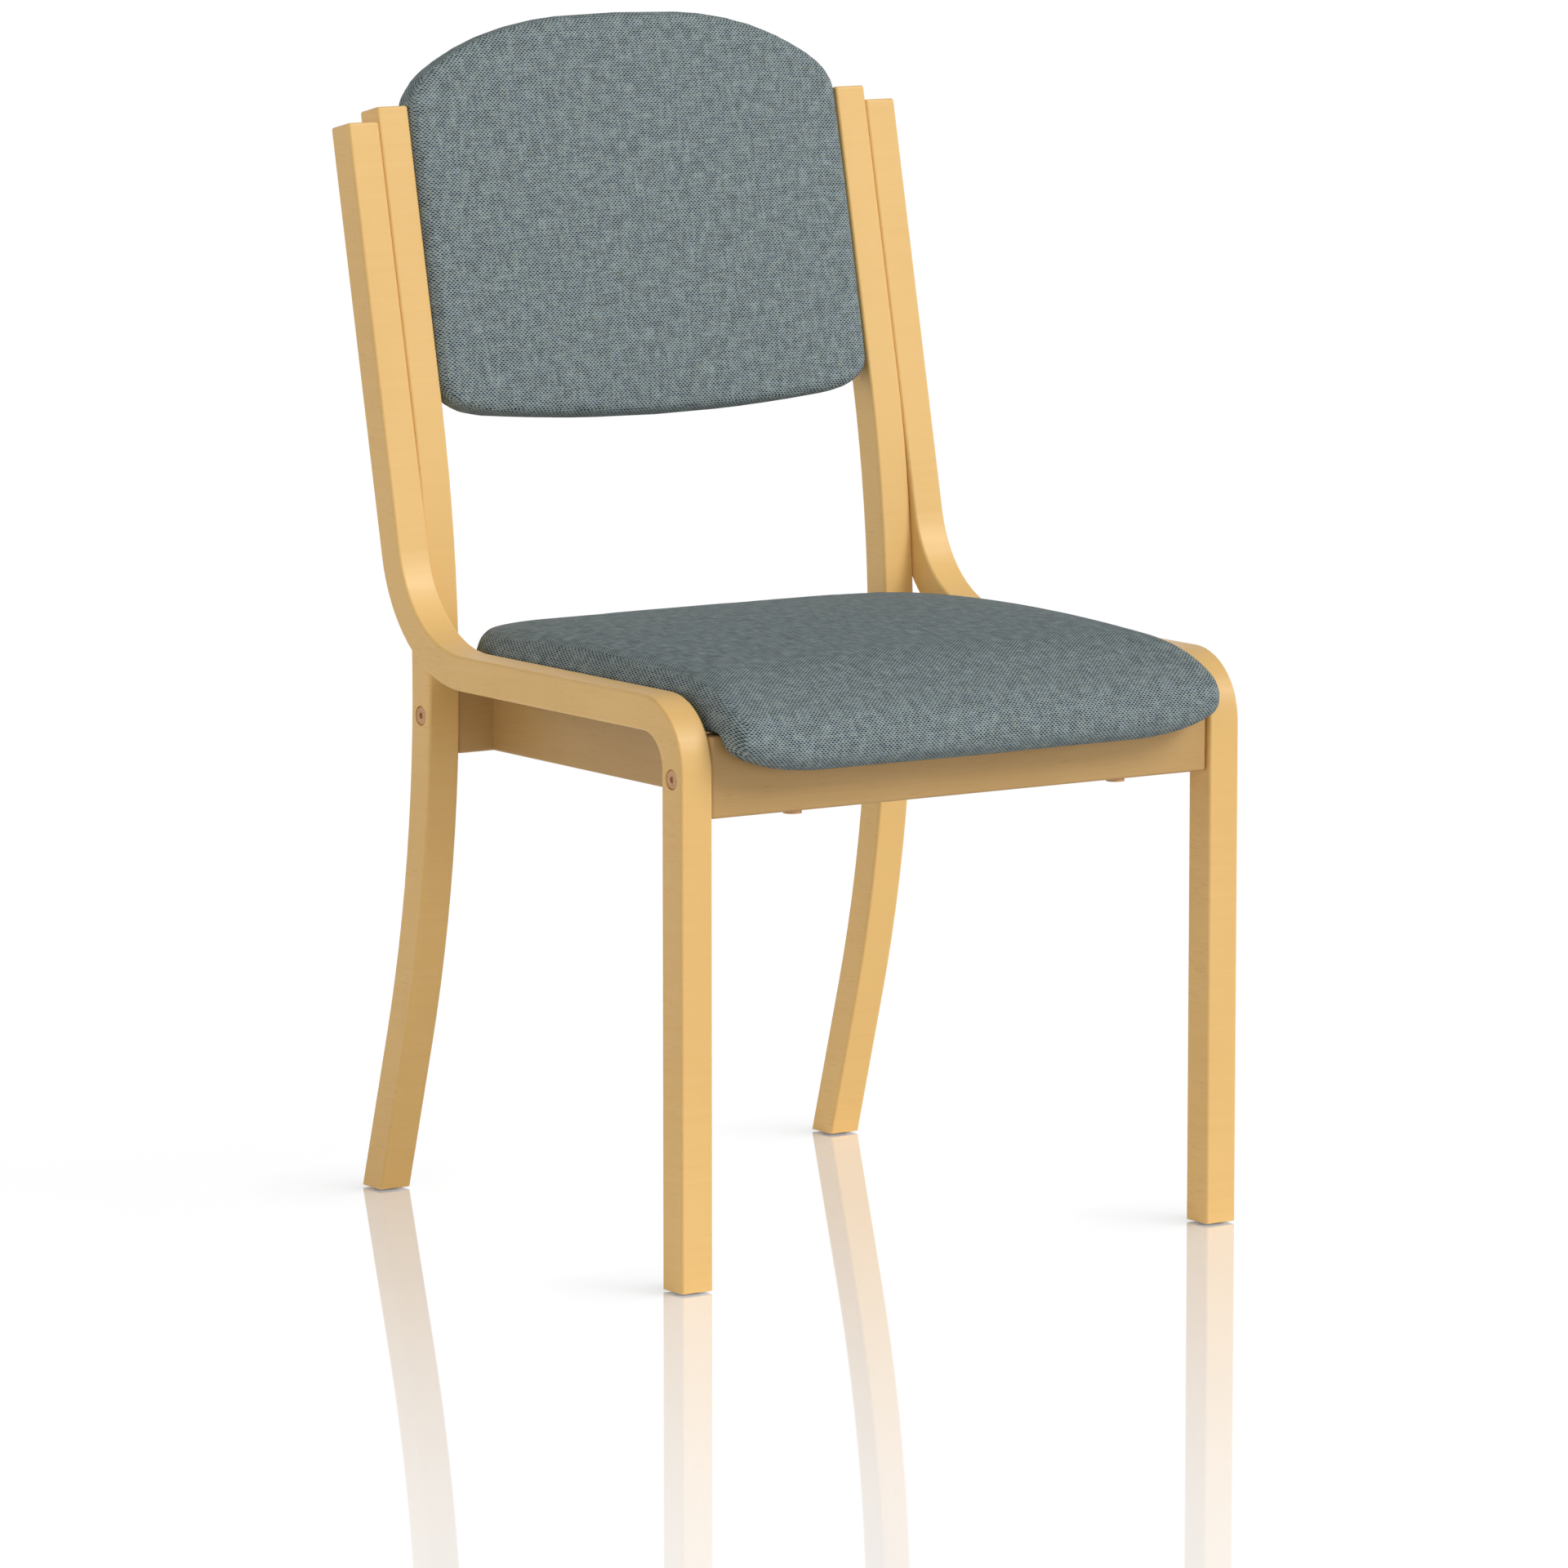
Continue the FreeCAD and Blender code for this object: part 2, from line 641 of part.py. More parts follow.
def back_pins(room=0.0):
    """Steel pins from the posts into the edges of the back board, or with room their holes."""
    end_room = dowel_end_clearance if room else 0.0
    inner = back_half - back_board_margin - back_pin_in_board - end_room
    outer = upright_inner + back_pin_in_post + end_room
    middle = (back_board_rear + back_board_front) / 2.0
    found = []
    for height in back_pin_heights:
        start = at_x(inner, on_post(height, middle))
        found += both_sides(rod(start, V(1, 0, 0), (back_pin_diameter + room) / 2.0, outer - inner))
    return found


def seat_bolt_places():
    """Places of the four seat bolts: x, y and the level that the head bears on."""
    front = (side_rail_x - front_seat_bolt_inset, front_rail_y, rail_bottom)
    rear = (side_rail_x, seat_rear - rear_seat_bolt_setback, rail_bottom + rear_seat_bolt_recess)
    return front, rear


def seat_bolt(place):
    x, y, bearing = place
    tip = board_top - bolt_tip_margin
    head = rod(V(x, y, bearing - seat_bolt_head_height), V(0, 0, 1), seat_bolt_head_diameter / 2.0,
               seat_bolt_head_height)
    shank = rod(V(x, y, bearing), V(0, 0, 1), seat_bolt_diameter / 2.0, tip - bearing)
    socket = hex_rod(V(x, y, bearing - seat_bolt_head_height), V(0, 0, 1), seat_bolt_socket,
                     seat_bolt_socket_depth)
    return head.fuse(shank).removeSplitter().cut(socket)


def seat_bolt_hole(place):
    """Bore for a seat bolt up to the board, with room for its head where that is sunk."""
    x, y, bearing = place
    bore = rod(V(x, y, rail_bottom - 1.0), V(0, 0, 1), (seat_bolt_diameter + hole_clearance) / 2.0,
               board_bottom - rail_bottom + 2.0)
    if bearing > rail_bottom:
        head_radius = (seat_bolt_head_diameter + head_clearance) / 2.0
        head_bore = rod(V(x, y, rail_bottom - 1.0), V(0, 0, 1), head_radius, bearing - rail_bottom + 1.0)
        bore = bore.fuse(head_bore)
    return bore


def tee_nut(place):
    x, y = place[:2]
    flange = rod(V(x, y, board_top - tee_nut_flange_height), V(0, 0, 1), tee_nut_flange_diameter / 2.0,
                 tee_nut_flange_height)
    barrel = rod(V(x, y, board_top - tee_nut_flange_height - tee_nut_barrel_length), V(0, 0, 1),
                 tee_nut_barrel_diameter / 2.0, tee_nut_barrel_length)
    bore = rod(V(x, y, board_bottom - 1.0), V(0, 0, 1), (seat_bolt_diameter + thread_clearance) / 2.0,
               seat_board_thickness + 2.0)
    return flange.fuse(barrel).removeSplitter().cut(bore)


def tee_nut_hole(place):
    x, y = place[:2]
    flange = rod(V(x, y, board_top - tee_nut_flange_height), V(0, 0, 1),
                 (tee_nut_flange_diameter + hole_clearance) / 2.0, tee_nut_flange_height + 1.0)
    barrel = rod(V(x, y, board_bottom - 1.0), V(0, 0, 1), (tee_nut_barrel_diameter + hole_clearance) / 2.0,
                 seat_board_thickness + 1.0)
    return flange.fuse(barrel)


def glide_places():
    front = (half_width - member_width / 2.0, leg_front + stock_depth / 2.0)
    rear = (bow_inner - member_width / 2.0, leg_front + heel_reach - stock_depth / math.cos(splay) / 2.0)
    return front, rear


def glide(place):
    x, y = place
    disc = rod(V(x, y, 0), V(0, 0, 1), glide_diameter / 2.0, glide_height)
    disc = disc.makeChamfer(glide_chamfer, [e for e in disc.Edges if e.BoundBox.ZMax < 1e-6])
    return disc.cut(glide_nail(place, hole_clearance, glide_height))


def glide_nail(place, room=0.0, head_room=0.0):
    """Nail through a glide, or with room its hole, open below the head by head_room."""
    x, y = place
    seat = glide_height - glide_nail_head_height
    head = rod(V(x, y, seat - glide_nail_head_height / 2.0 - head_room), V(0, 0, 1),
               (glide_nail_head_diameter + room) / 2.0, glide_nail_head_height + head_room)
    end_room = dowel_end_clearance if room else 0.0
    shank = rod(V(x, y, seat), V(0, 0, 1), (glide_nail_diameter + room) / 2.0, glide_nail_length + end_room)
    return head.fuse(shank).removeSplitter()


def drilled(solid, tools):
    for tool in tools:
        solid = solid.cut(tool)
    return solid


front_place, rear_place = seat_bolt_places()
front_glide, rear_glide = glide_places()
seat_places = (front_place, rear_place)
leg_bolt_places = ((half_width, front_rail_y), (bow_inner, rear_rail_y))
bolt_bores = on_both_sides(seat_bolt_hole(place) for place in seat_places)
post_holes = post_dowels(hole_clearance)
side_holes = side_rail_dowels(hole_clearance)
front_dowel_holes = rail_dowels(bow_inner, front_rail_y, hole_clearance)
rear_dowel_holes = rail_dowels(upright_inner, rear_rail_y, hole_clearance)
pin_holes = back_pins(hole_clearance)
front_dowels = rail_dowels(bow_inner, front_rail_y)
rear_dowels = rail_dowels(upright_inner, rear_rail_y)

# Side frames
bow_holes = [leg_bolt_hole(half_width, front_rail_y), glide_nail(front_glide, hole_clearance)]
bow = drilled(bow_solid(), bow_holes + front_dowel_holes + post_holes)
upright_holes = [leg_bolt_hole(bow_inner, rear_rail_y), glide_nail(rear_glide, hole_clearance)]
upright = drilled(upright_solid(), upright_holes + rear_dowel_holes + post_holes + pin_holes)

# Rails
front_holes = [leg_bolt_hole(half_width, front_rail_y),
               barrel_nut_hole(half_width, front_rail_y, front_rail_y + rail_depth)]
rear_holes = [leg_bolt_hole(bow_inner, rear_rail_y),
              barrel_nut_hole(bow_inner, rear_rail_y, rear_rail_y + rail_depth)]
front_holes += front_dowel_holes + side_holes
rear_holes += rear_dowel_holes + side_holes
front_rail = drilled(cross_rail(bow_inner, front_rail_y), on_both_sides(front_holes) + bolt_bores)
rear_rail = drilled(cross_rail(upright_inner, rear_rail_y), on_both_sides(rear_holes))
side_rail = drilled(side_rail_solid(), side_holes + [seat_bolt_hole(rear_place)])

# Seat
seat_board = drilled(seat_board_solid(), on_both_sides(tee_nut_hole(place) for place in seat_places))
hem_face = seat_plan(hem_width, lip_inner + hem_width, seat_base - 1.0)
hem_opening = hem_face.extrude(V(0, 0, cover_thickness + 1.0 + soft_clearance))
seat_cover = drilled(seat_form(0.0), [seat_form(cover_thickness), hem_opening] + bolt_bores)
under_board = box(-seat_half, seat_half, lip_inner - cover_thickness - soft_clearance, seat_rear,
                  seat_base - 1.0, board_bottom)
tee_nuts = on_both_sides(tee_nut(place) for place in seat_places)
seat_foam = drilled(seat_form(cover_thickness + soft_clearance), [seat_board_solid(), under_board] + tee_nuts)
lining_face = seat_plan(lining_margin, lip_inner + lining_margin, lining_bottom)
seat_lining = drilled(lining_face.extrude(V(0, 0, lining_thickness)), bolt_bores)

# Back
back_board = drilled(back_plate(back_board_margin, back_board_rear, back_board_front), pin_holes)
back_opening = back_plate(back_hem_width, -back_rear_depth - 1.0, back_board_rear)
back_cover = drilled(back_form(0.0), [back_form(cover_thickness), back_opening] + pin_holes)
back_foam = drilled(back_form(cover_thickness + soft_clearance),
                    [back_plate(back_board_margin, -back_rear_depth, back_board_front)] + pin_holes)
back_lining = back_plate(lining_margin, -back_rear_depth - lining_thickness, -back_rear_depth)

nodes = {
    "left_side_bow": [mirrored(bow)],
    "right_side_bow": [bow],
    "left_rear_upright": [mirrored(upright)],
    "right_rear_upright": [upright],
    "front_rail": [front_rail],
    "rear_rail": [rear_rail],
    "left_side_rail": [mirrored(side_rail)],
    "right_side_rail": [side_rail],
    "leg_bolts": on_both_sides(leg_bolt(x, y) for x, y in leg_bolt_places),
    "barrel_nuts": on_both_sides(barrel_nut(x, y) for x, y in leg_bolt_places),
    "rail_dowels": on_both_sides(front_dowels + rear_dowels),
    "side_rail_dowels": on_both_sides(side_rail_dowels()),
    "post_dowels": on_both_sides(post_dowels()),
    "front_seat_bolts": both_sides(seat_bolt(front_place)),
    "rear_seat_bolts": both_sides(seat_bolt(rear_place)),
    "seat_tee_nuts": tee_nuts,
    "seat_board": [seat_board],
    "seat_foam": [seat_foam],
    "seat_cover": [seat_cover],
    "seat_lining": [seat_lining],
    "back_board": [back_board],
    "back_foam": [back_foam],
    "back_cover": [back_cover],
    "back_lining": [back_lining],
    "back_pins": back_pins(),
    "foot_glides": on_both_sides(glide(place) for place in (front_glide, rear_glide)),
    "glide_nails": on_both_sides(glide_nail(place) for place in (front_glide, rear_glide)),
}

for name, pieces in nodes.items():
    solids = [solid for piece in pieces for solid in piece.Solids]
    shape = solids[0] if len(solids) == 1 else Part.makeCompound(solids)
    shape.exportStep("parts/" + name + ".step")
    print(name, len(solids), "solids", round(shape.Volume / 1000.0, 1), "cm3", "valid:", shape.isValid())
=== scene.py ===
"""Visitor chair: finishes, upholstered pads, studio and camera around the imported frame."""

import json
import logging
import math
from dataclasses import dataclass
from enum import Enum
from functools import cached_property
from typing import Iterable, Union

import bpy
import numpy as np
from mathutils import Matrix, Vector

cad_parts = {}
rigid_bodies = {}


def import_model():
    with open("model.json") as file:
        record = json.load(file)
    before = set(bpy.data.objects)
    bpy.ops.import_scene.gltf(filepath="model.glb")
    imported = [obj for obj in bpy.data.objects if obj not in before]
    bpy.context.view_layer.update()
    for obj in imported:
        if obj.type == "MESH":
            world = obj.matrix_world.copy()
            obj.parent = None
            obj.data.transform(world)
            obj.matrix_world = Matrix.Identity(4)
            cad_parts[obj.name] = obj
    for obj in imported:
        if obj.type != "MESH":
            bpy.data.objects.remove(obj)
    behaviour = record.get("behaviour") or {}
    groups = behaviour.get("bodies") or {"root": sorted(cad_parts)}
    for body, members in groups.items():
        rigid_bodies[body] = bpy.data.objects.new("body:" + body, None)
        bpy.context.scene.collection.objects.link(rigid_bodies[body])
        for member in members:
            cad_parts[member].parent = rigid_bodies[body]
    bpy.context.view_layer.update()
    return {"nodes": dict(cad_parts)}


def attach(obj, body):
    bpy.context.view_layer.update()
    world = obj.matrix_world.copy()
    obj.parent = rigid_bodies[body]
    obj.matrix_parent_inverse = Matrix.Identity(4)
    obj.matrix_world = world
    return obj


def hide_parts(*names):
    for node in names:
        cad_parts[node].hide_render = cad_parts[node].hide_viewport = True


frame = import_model()
WEAVE_MAP = "weave"
FIRST_FRAME = 1
WHITE = (1.0, 1.0, 1.0, 1.0)

log = logging.getLogger("visitor_chair")
Colour = tuple[float, float, float, float]
Feed = Union[bpy.types.NodeSocket, float, tuple]


class Coordinates(Enum):
    """Where a woven finish reads its threads from."""

    PAD = "the pad's own weave map"
    PANEL = "the flat panel's object coordinates"


class GrainRun(Enum):
    """How the grain of a beech member shows on its faces."""

    BENT = "flecks on the sides of the bent laminations, plain bands on their faces"
    RAIL = "flecks on every face of a straight rail"


def linear(red: float, green: float, blue: float) -> Colour:
    """Turns a colour written as 0 to 255 screen values into linear light.

    Args:
        red: red screen value.
        green: green screen value.
        blue: blue screen value.

    Returns:
        The linear colour with full alpha.
    """
    def one(value: float) -> float:
        """Linear light of one channel, by the sRGB curve."""
        share = value / 255.0
        return share / 12.92 if share <= 0.04045 else ((share + 0.055) / 1.055) ** 2.4

    return one(red), one(green), one(blue), 1.0


def deselect_all() -> None:
    """Leaves nothing selected, so that an operator acts only on what is chosen next."""
    for other in bpy.context.view_layer.objects:
        other.select_set(False)


def choose(piece: bpy.types.Object) -> None:
    """Selects one piece and makes it the active one.

    Args:
        piece: the piece that the next operator acts on.
    """
    deselect_all()
    piece.select_set(True)
    bpy.context.view_layer.objects.active = piece


def smooth_out(piece: bpy.types.Object, times: int, share: float = 0.5) -> None:
    """Evens out the skin of the active piece.

    Args:
        piece: the active piece.
        times: how many times over.
        share: how far each point goes towards its neighbours each time.
    """
    even = piece.modifiers.new("even", "SMOOTH")
    even.factor = share
    even.iterations = times
    bpy.ops.object.modifier_apply(modifier=even.name)


def points_of(mesh: bpy.types.Mesh) -> np.ndarray:
    """Reads the places of a mesh's vertices.

    Args:
        mesh: the mesh.

    Returns:
        One row for each vertex.
    """
    flat = np.empty(len(mesh.vertices) * 3)
    mesh.vertices.foreach_get("co", flat)
    return flat.reshape(-1, 3)


def normals_of(mesh: bpy.types.Mesh) -> np.ndarray:
    """Reads the normals of a mesh's vertices.

    Args:
        mesh: the mesh.

    Returns:
        One row for each vertex.
    """
    flat = np.empty(len(mesh.vertices) * 3, np.float32)
    mesh.vertex_normals.foreach_get("vector", flat)
    return flat.reshape(-1, 3).astype(float)


def move_points(mesh: bpy.types.Mesh, places: np.ndarray) -> None:
    """Puts a mesh's vertices at new places."""
    mesh.vertices.foreach_set("co", places.ravel())
    mesh.update()


def ramp(distance: np.ndarray, width: float) -> np.ndarray:
    """Rises evenly from 0 at distance 0 to 1 at the width."""
    return np.clip(distance / width, 0.0, 1.0)


@dataclass(frozen=True)
class Noise:
    """Cloudy noise: its cycles per metre along x, y and z, and how many finer layers it has."""

    stretch: tuple[float, float, float]
    detail: float = 2.0


class Wiring:
    """Adds and joins the nodes of one node tree."""

    # places of a colour mix's sockets, which share their names with those of its other kinds
    MIX_SHARE = 0
    MIX_FIRST = 6
    MIX_SECOND = 7
    MIX_RESULT = 2

    def __init__(self, tree: bpy.types.NodeTree) -> None:
        """Keeps the tree that the nodes go into."""
        self.tree = tree

    def add(self, kind: str, **settings: object) -> bpy.types.Node:
        """Adds a node.

        Args:
            kind: the node's type.
            settings: attributes to set on it.

        Returns:
            The new node.
        """
        node = self.tree.nodes.new(kind)
        for name, value in settings.items():
            setattr(node, name, value)
        return node

    def feed(self, socket: bpy.types.NodeSocket, value: Feed) -> None:
        """Joins a socket to another one, or sets its plain value.

        Args:
            socket: the input.
            value: the output that it is joined to, or its value.
        """
        if isinstance(value, bpy.types.NodeSocket):
            self.tree.links.new(value, socket)
        else:
            socket.default_value = value

    def maths(self, operation: str, *values: Feed) -> bpy.types.NodeSocket:
        """Adds a maths node.

        Args:
            operation: what it does.
            values: its inputs in order.

        Returns:
            Its result.
        """
        node = self.add("ShaderNodeMath", operation=operation)
        for socket, value in zip(node.inputs, values):
            self.feed(socket, value)
        return node.outputs[0]

    def reach(self, first: Feed, second: Feed) -> bpy.types.NodeSocket:
        """Measures how far two offsets at right angles reach together.

        Args:
            first: one offset.
            second: the other one.

        Returns:
            The distance.
        """
        square = self.maths("MULTIPLY", second, second)
        return self.maths("SQRT", self.maths("MULTIPLY_ADD", first, first, square))

    def axes(self, vector: bpy.types.NodeSocket) -> bpy.types.Node:
        """Splits a vector.

        Args:
            vector: what is split.

        Returns:
            The node, with outputs X, Y and Z.
        """
        node = self.add("ShaderNodeSeparateXYZ")
        self.feed(node.inputs[0], vector)
        return node

    def step(self, value: Feed, low: float, high: float) -> bpy.types.NodeSocket:
        """Rises smoothly from 0 at low to 1 at high.

        Args:
            value: what is compared.
            low: where the rise begins.
            high: where it ends.

        Returns:
            The share risen.
        """
        node = self.add("ShaderNodeMapRange", interpolation_type="SMOOTHSTEP")
        self.feed(node.inputs["Value"], value)
        node.inputs["From Min"].default_value = low
        node.inputs["From Max"].default_value = high
        return node.outputs["Result"]

    def span(self, value: Feed, low: float, high: float) -> bpy.types.NodeSocket:
        """Spreads a value from 0 to 1 over a range.

        Args:
            value: the value from 0 to 1.
            low: result at 0.
            high: result at 1.

        Returns:
            The value in its range.
        """
        node = self.add("ShaderNodeMapRange")
        self.feed(node.inputs["Value"], value)
        node.inputs["To Min"].default_value = low
        node.inputs["To Max"].default_value = high
        return node.outputs["Result"]

    def noise(self, place: bpy.types.NodeSocket, kind: Noise) -> bpy.types.NodeSocket:
        """Adds cloudy noise, stretched along the axes.

        Args:
            place: where it is read.
            kind: how fine it is.

        Returns:
            The noise, about 0.5 on average.
        """
        mapping = self.add("ShaderNodeMapping")
        self.feed(mapping.inputs["Vector"], place)
        mapping.inputs["Scale"].default_value = kind.stretch
        node = self.add("ShaderNodeTexNoise")
        self.feed(node.inputs["Vector"], mapping.outputs["Vector"])
        node.inputs["Scale"].default_value = 1.0
        node.inputs["Detail"].default_value = kind.detail
        return node.outputs["Fac"]

    def mix(self, share: Feed, first: Feed, second: Feed) -> bpy.types.NodeSocket:
        """Mixes two colours.

        Args:
            share: how much of the second colour.
            first: colour at share 0.
            second: colour at share 1.

        Returns:
            The mixed colour.
        """
        node = self.add("ShaderNodeMix", data_type="RGBA")
        self.feed(node.inputs[self.MIX_SHARE], share)
        self.feed(node.inputs[self.MIX_FIRST], first)
        self.feed(node.inputs[self.MIX_SECOND], second)
        return node.outputs[self.MIX_RESULT]

    def blend(self, share: Feed, first: bpy.types.NodeSocket,
              second: bpy.types.NodeSocket) -> bpy.types.NodeSocket:
        """Mixes two shaders.

        Args:
            share: how much of the second shader.
            first: shader at share 0.
            second: shader at share 1.

        Returns:
            The mixed shader.
        """
        node = self.add("ShaderNodeMixShader")
        for socket, value in zip(node.inputs, (share, first, second)):
            self.feed(socket, value)
        return node.outputs[0]


def new_group(name: str, inputs: Iterable[tuple[str, str, float]],
              outputs: Iterable[str]) -> tuple[bpy.types.NodeTree, Wiring, bpy.types.Node, bpy.types.Node]:
    """Starts a shader node group.

    Args:
        name: the group's name.
        inputs: name, socket type and default of each input.
        outputs: names of its outputs, all values.

    Returns:
        The group, its wiring, its input node and its output node.
    """
    tree = bpy.data.node_groups.new(name, "ShaderNodeTree")
    for label, kind, start in inputs:
        socket = tree.interface.new_socket(name=label, in_out="INPUT", socket_type=kind)
        if kind == "NodeSocketFloat":
            socket.default_value = start
    for label in outputs:
        tree.interface.new_socket(name=label, in_out="OUTPUT", socket_type="NodeSocketFloat")
    wiring = Wiring(tree)
    return tree, wiring, wiring.add("NodeGroupInput"), wiring.add("NodeGroupOutput")


@dataclass
class WeaveEffect:
    """Woven cloth: staggered dark dashes between light threads, with slubs and mottling."""

    dash_pitch: float = 0.0033
    row_pitch: float = 0.00147
    row_shift: float = 0.5
    dash_half: float = 0.42
    row_half: float = 0.46
    hollow_core: float = 0.45
    hollow_edge: float = 1.15
    slub_along: Noise = Noise((70.0, 420.0, 1.0), 3.0)
    slub_down: Noise = Noise((420.0, 70.0, 1.0), 3.0)
    cloud: Noise = Noise((110.0, 110.0, 1.0), 3.0)
    along_share: float = 0.33
    down_share: float = 0.41
    cloud_share: float = 0.26
    thread_share: float = 0.55
    mottle_low: float = 0.36
    mottle_high: float = 0.66
    faintest_dash: float = 0.66

    @cached_property
    def tree(self) -> bpy.types.NodeTree:
        """The node group, built the first time it is asked for."""
        tree, wire, start, end = new_group(
            "woven_threads",
            [("Place", "NodeSocketVector", 0.0), ("Dash Pitch", "NodeSocketFloat", self.dash_pitch),
             ("Row Pitch", "NodeSocketFloat", self.row_pitch)],
            ["Dash", "Height", "Mottle", "Thread"])
        place = start.outputs["Place"]
        split = wire.axes(place)
        rows = wire.maths("DIVIDE", split.outputs["Y"], start.outputs["Row Pitch"])
        row = wire.maths("FLOOR", rows)
        across = wire.maths("FRACT", rows)
        stagger = wire.maths("FRACT", wire.maths("MULTIPLY", row, self.row_shift))
        level = wire.maths("DIVIDE", split.outputs["X"], start.outputs["Dash Pitch"])
        dashes = wire.maths("ADD", level, stagger)
        cell = wire.maths("FLOOR", dashes)
        along = wire.maths("FRACT", dashes)
        key = wire.add("ShaderNodeCombineXYZ")
        wire.feed(key.inputs[0], cell)
        wire.feed(key.inputs[1], row)
        chance = wire.add("ShaderNodeTexWhiteNoise", noise_dimensions="2D")
        wire.feed(chance.inputs["Vector"], key.outputs[0])
        thread = chance.outputs["Value"]
        off_along = wire.maths("DIVIDE", wire.maths("SUBTRACT", along, 0.5), self.dash_half)
        off_across = wire.maths("DIVIDE", wire.maths("SUBTRACT", across, 0.5), self.row_half)
        spread = wire.reach(off_along, off_across)
        hollow = wire.maths("SUBTRACT", 1.0, wire.step(spread, self.hollow_core, self.hollow_edge))
        clouds = wire.maths("MULTIPLY", wire.noise(place, self.cloud), self.cloud_share)
        slubs = wire.maths("MULTIPLY_ADD", wire.noise(place, self.slub_down), self.down_share, clouds)
        mottle = wire.maths("MULTIPLY_ADD", wire.noise(place, self.slub_along), self.along_share, slubs)
        worn = wire.step(mottle, self.mottle_low, self.mottle_high)
        depth = wire.maths("MULTIPLY_ADD", thread, self.thread_share, worn)
        strength = wire.span(depth, self.faintest_dash, 1.0)
        wire.feed(end.inputs["Dash"], wire.maths("MULTIPLY", hollow, strength))
        wire.feed(end.inputs["Height"], wire.maths("SUBTRACT", 1.0, hollow))
        wire.feed(end.inputs["Mottle"], mottle)
        wire.feed(end.inputs["Thread"], thread)
        return tree


@dataclass
class GrainEffect:
    """Beech: short dark flecks along the member, soft bands down it and a broad cloudiness."""

    fine: Noise = Noise((60.0, 75.0, 1150.0))
    patch: Noise = Noise((30.0, 26.0, 60.0))
    band: Noise = Noise((12.0, 12.0, 220.0))
    cloud: Noise = Noise((7.0, 7.0, 4.0))
    side_low: float = 0.35
    side_high: float = 0.8
    fine_low: float = 0.56
    fine_high: float = 0.72
    patch_low: float = 0.34
    patch_high: float = 0.62

    @cached_property
    def tree(self) -> bpy.types.NodeTree:
        """The node group, built the first time it is asked for."""
        tree, wire, start, end = new_group(
            "beech_grain", [("Place", "NodeSocketVector", 0.0), ("Side Only", "NodeSocketFloat", 1.0)],
            ["Fleck", "Band", "Cloud"])
        place = start.outputs["Place"]
        split = wire.axes(wire.add("ShaderNodeNewGeometry").outputs["Normal"])
        sideways = wire.step(wire.maths("ABSOLUTE", split.outputs["X"]), self.side_low, self.side_high)
        shown = wire.maths("SUBTRACT", 1.0, wire.maths(
            "MULTIPLY", start.outputs["Side Only"], wire.maths("SUBTRACT", 1.0, sideways)))
        lines = wire.step(wire.noise(place, self.fine), self.fine_low, self.fine_high)
        patches = wire.step(wire.noise(place, self.patch), self.patch_low, self.patch_high)
        wire.feed(end.inputs["Fleck"], wire.maths("MULTIPLY", wire.maths("MULTIPLY", lines, patches), shown))
        wire.feed(end.inputs["Band"], wire.noise(place, self.band))
        wire.feed(end.inputs["Cloud"], wire.noise(place, self.cloud))
        return tree


@dataclass
class SpeckleEffect:
    """Fine even speckle with a broad cloudiness, for metal, plastic, felt and ply."""

    speck: Noise = Noise((900.0, 900.0, 900.0))
    cloud: Noise = Noise((45.0, 45.0, 45.0))

    @cached_property
    def tree(self) -> bpy.types.NodeTree:
        """The node group, built the first time it is asked for."""
        tree, wire, start, end = new_group(
            "speckle", [("Place", "NodeSocketVector", 0.0)], ["Speck", "Cloud"])
        place = start.outputs["Place"]
        wire.feed(end.inputs["Speck"], wire.noise(place, self.speck))
        wire.feed(end.inputs["Cloud"], wire.noise(place, self.cloud))
        return tree


WEAVE = WeaveEffect()
GRAIN = GrainEffect()
SPECKLE = SpeckleEffect()


@dataclass(frozen=True)
class Surface:
    """A material begun: its wiring, its shader and where its patterns are read."""

    material: bpy.types.Material
    wire: Wiring
    shader: bpy.types.Node
    place: bpy.types.NodeSocket

    def group(self, tree: bpy.types.NodeTree, place: bpy.types.NodeSocket, **values: float) -> bpy.types.Node:
        """Places a shared effect.

        Args:
            tree: the effect's node group.
            place: where its pattern is read.
            values: its other inputs, with an underscore for each blank.

        Returns:
            The group's node.
        """
        node = self.wire.add("ShaderNodeGroup", node_tree=tree)
        self.wire.feed(node.inputs["Place"], place)
        for name, value in values.items():
            node.inputs[name.replace("_", " ")].default_value = value
        return node

    def bump(self, height: bpy.types.NodeSocket, strength: float, distance: float) -> None:
        """Raises the surface by a height.

        Args:
            height: the height from 0 to 1.
            strength: how strongly it shows.
            distance: how far 1 stands out, in metres.
        """
        node = self.wire.add("ShaderNodeBump")
        self.wire.feed(node.inputs["Height"], height)
        node.inputs["Strength"].default_value = strength
        node.inputs["Distance"].default_value = distance
        self.wire.feed(self.shader.inputs["Normal"], node.outputs["Normal"])


def begin(name: str) -> Surface:
    """Starts a material with a principled shader and object coordinates.

    Args:
        name: the material's name.

    Returns:
        The material begun.
    """
    material = bpy.data.materials.new(name)
    material.use_nodes = True
    wire = Wiring(material.node_tree)
    shader = material.node_tree.nodes["Principled BSDF"]
    place = wire.add("ShaderNodeTexCoord").outputs["Object"]
    return Surface(material, wire, shader, place)


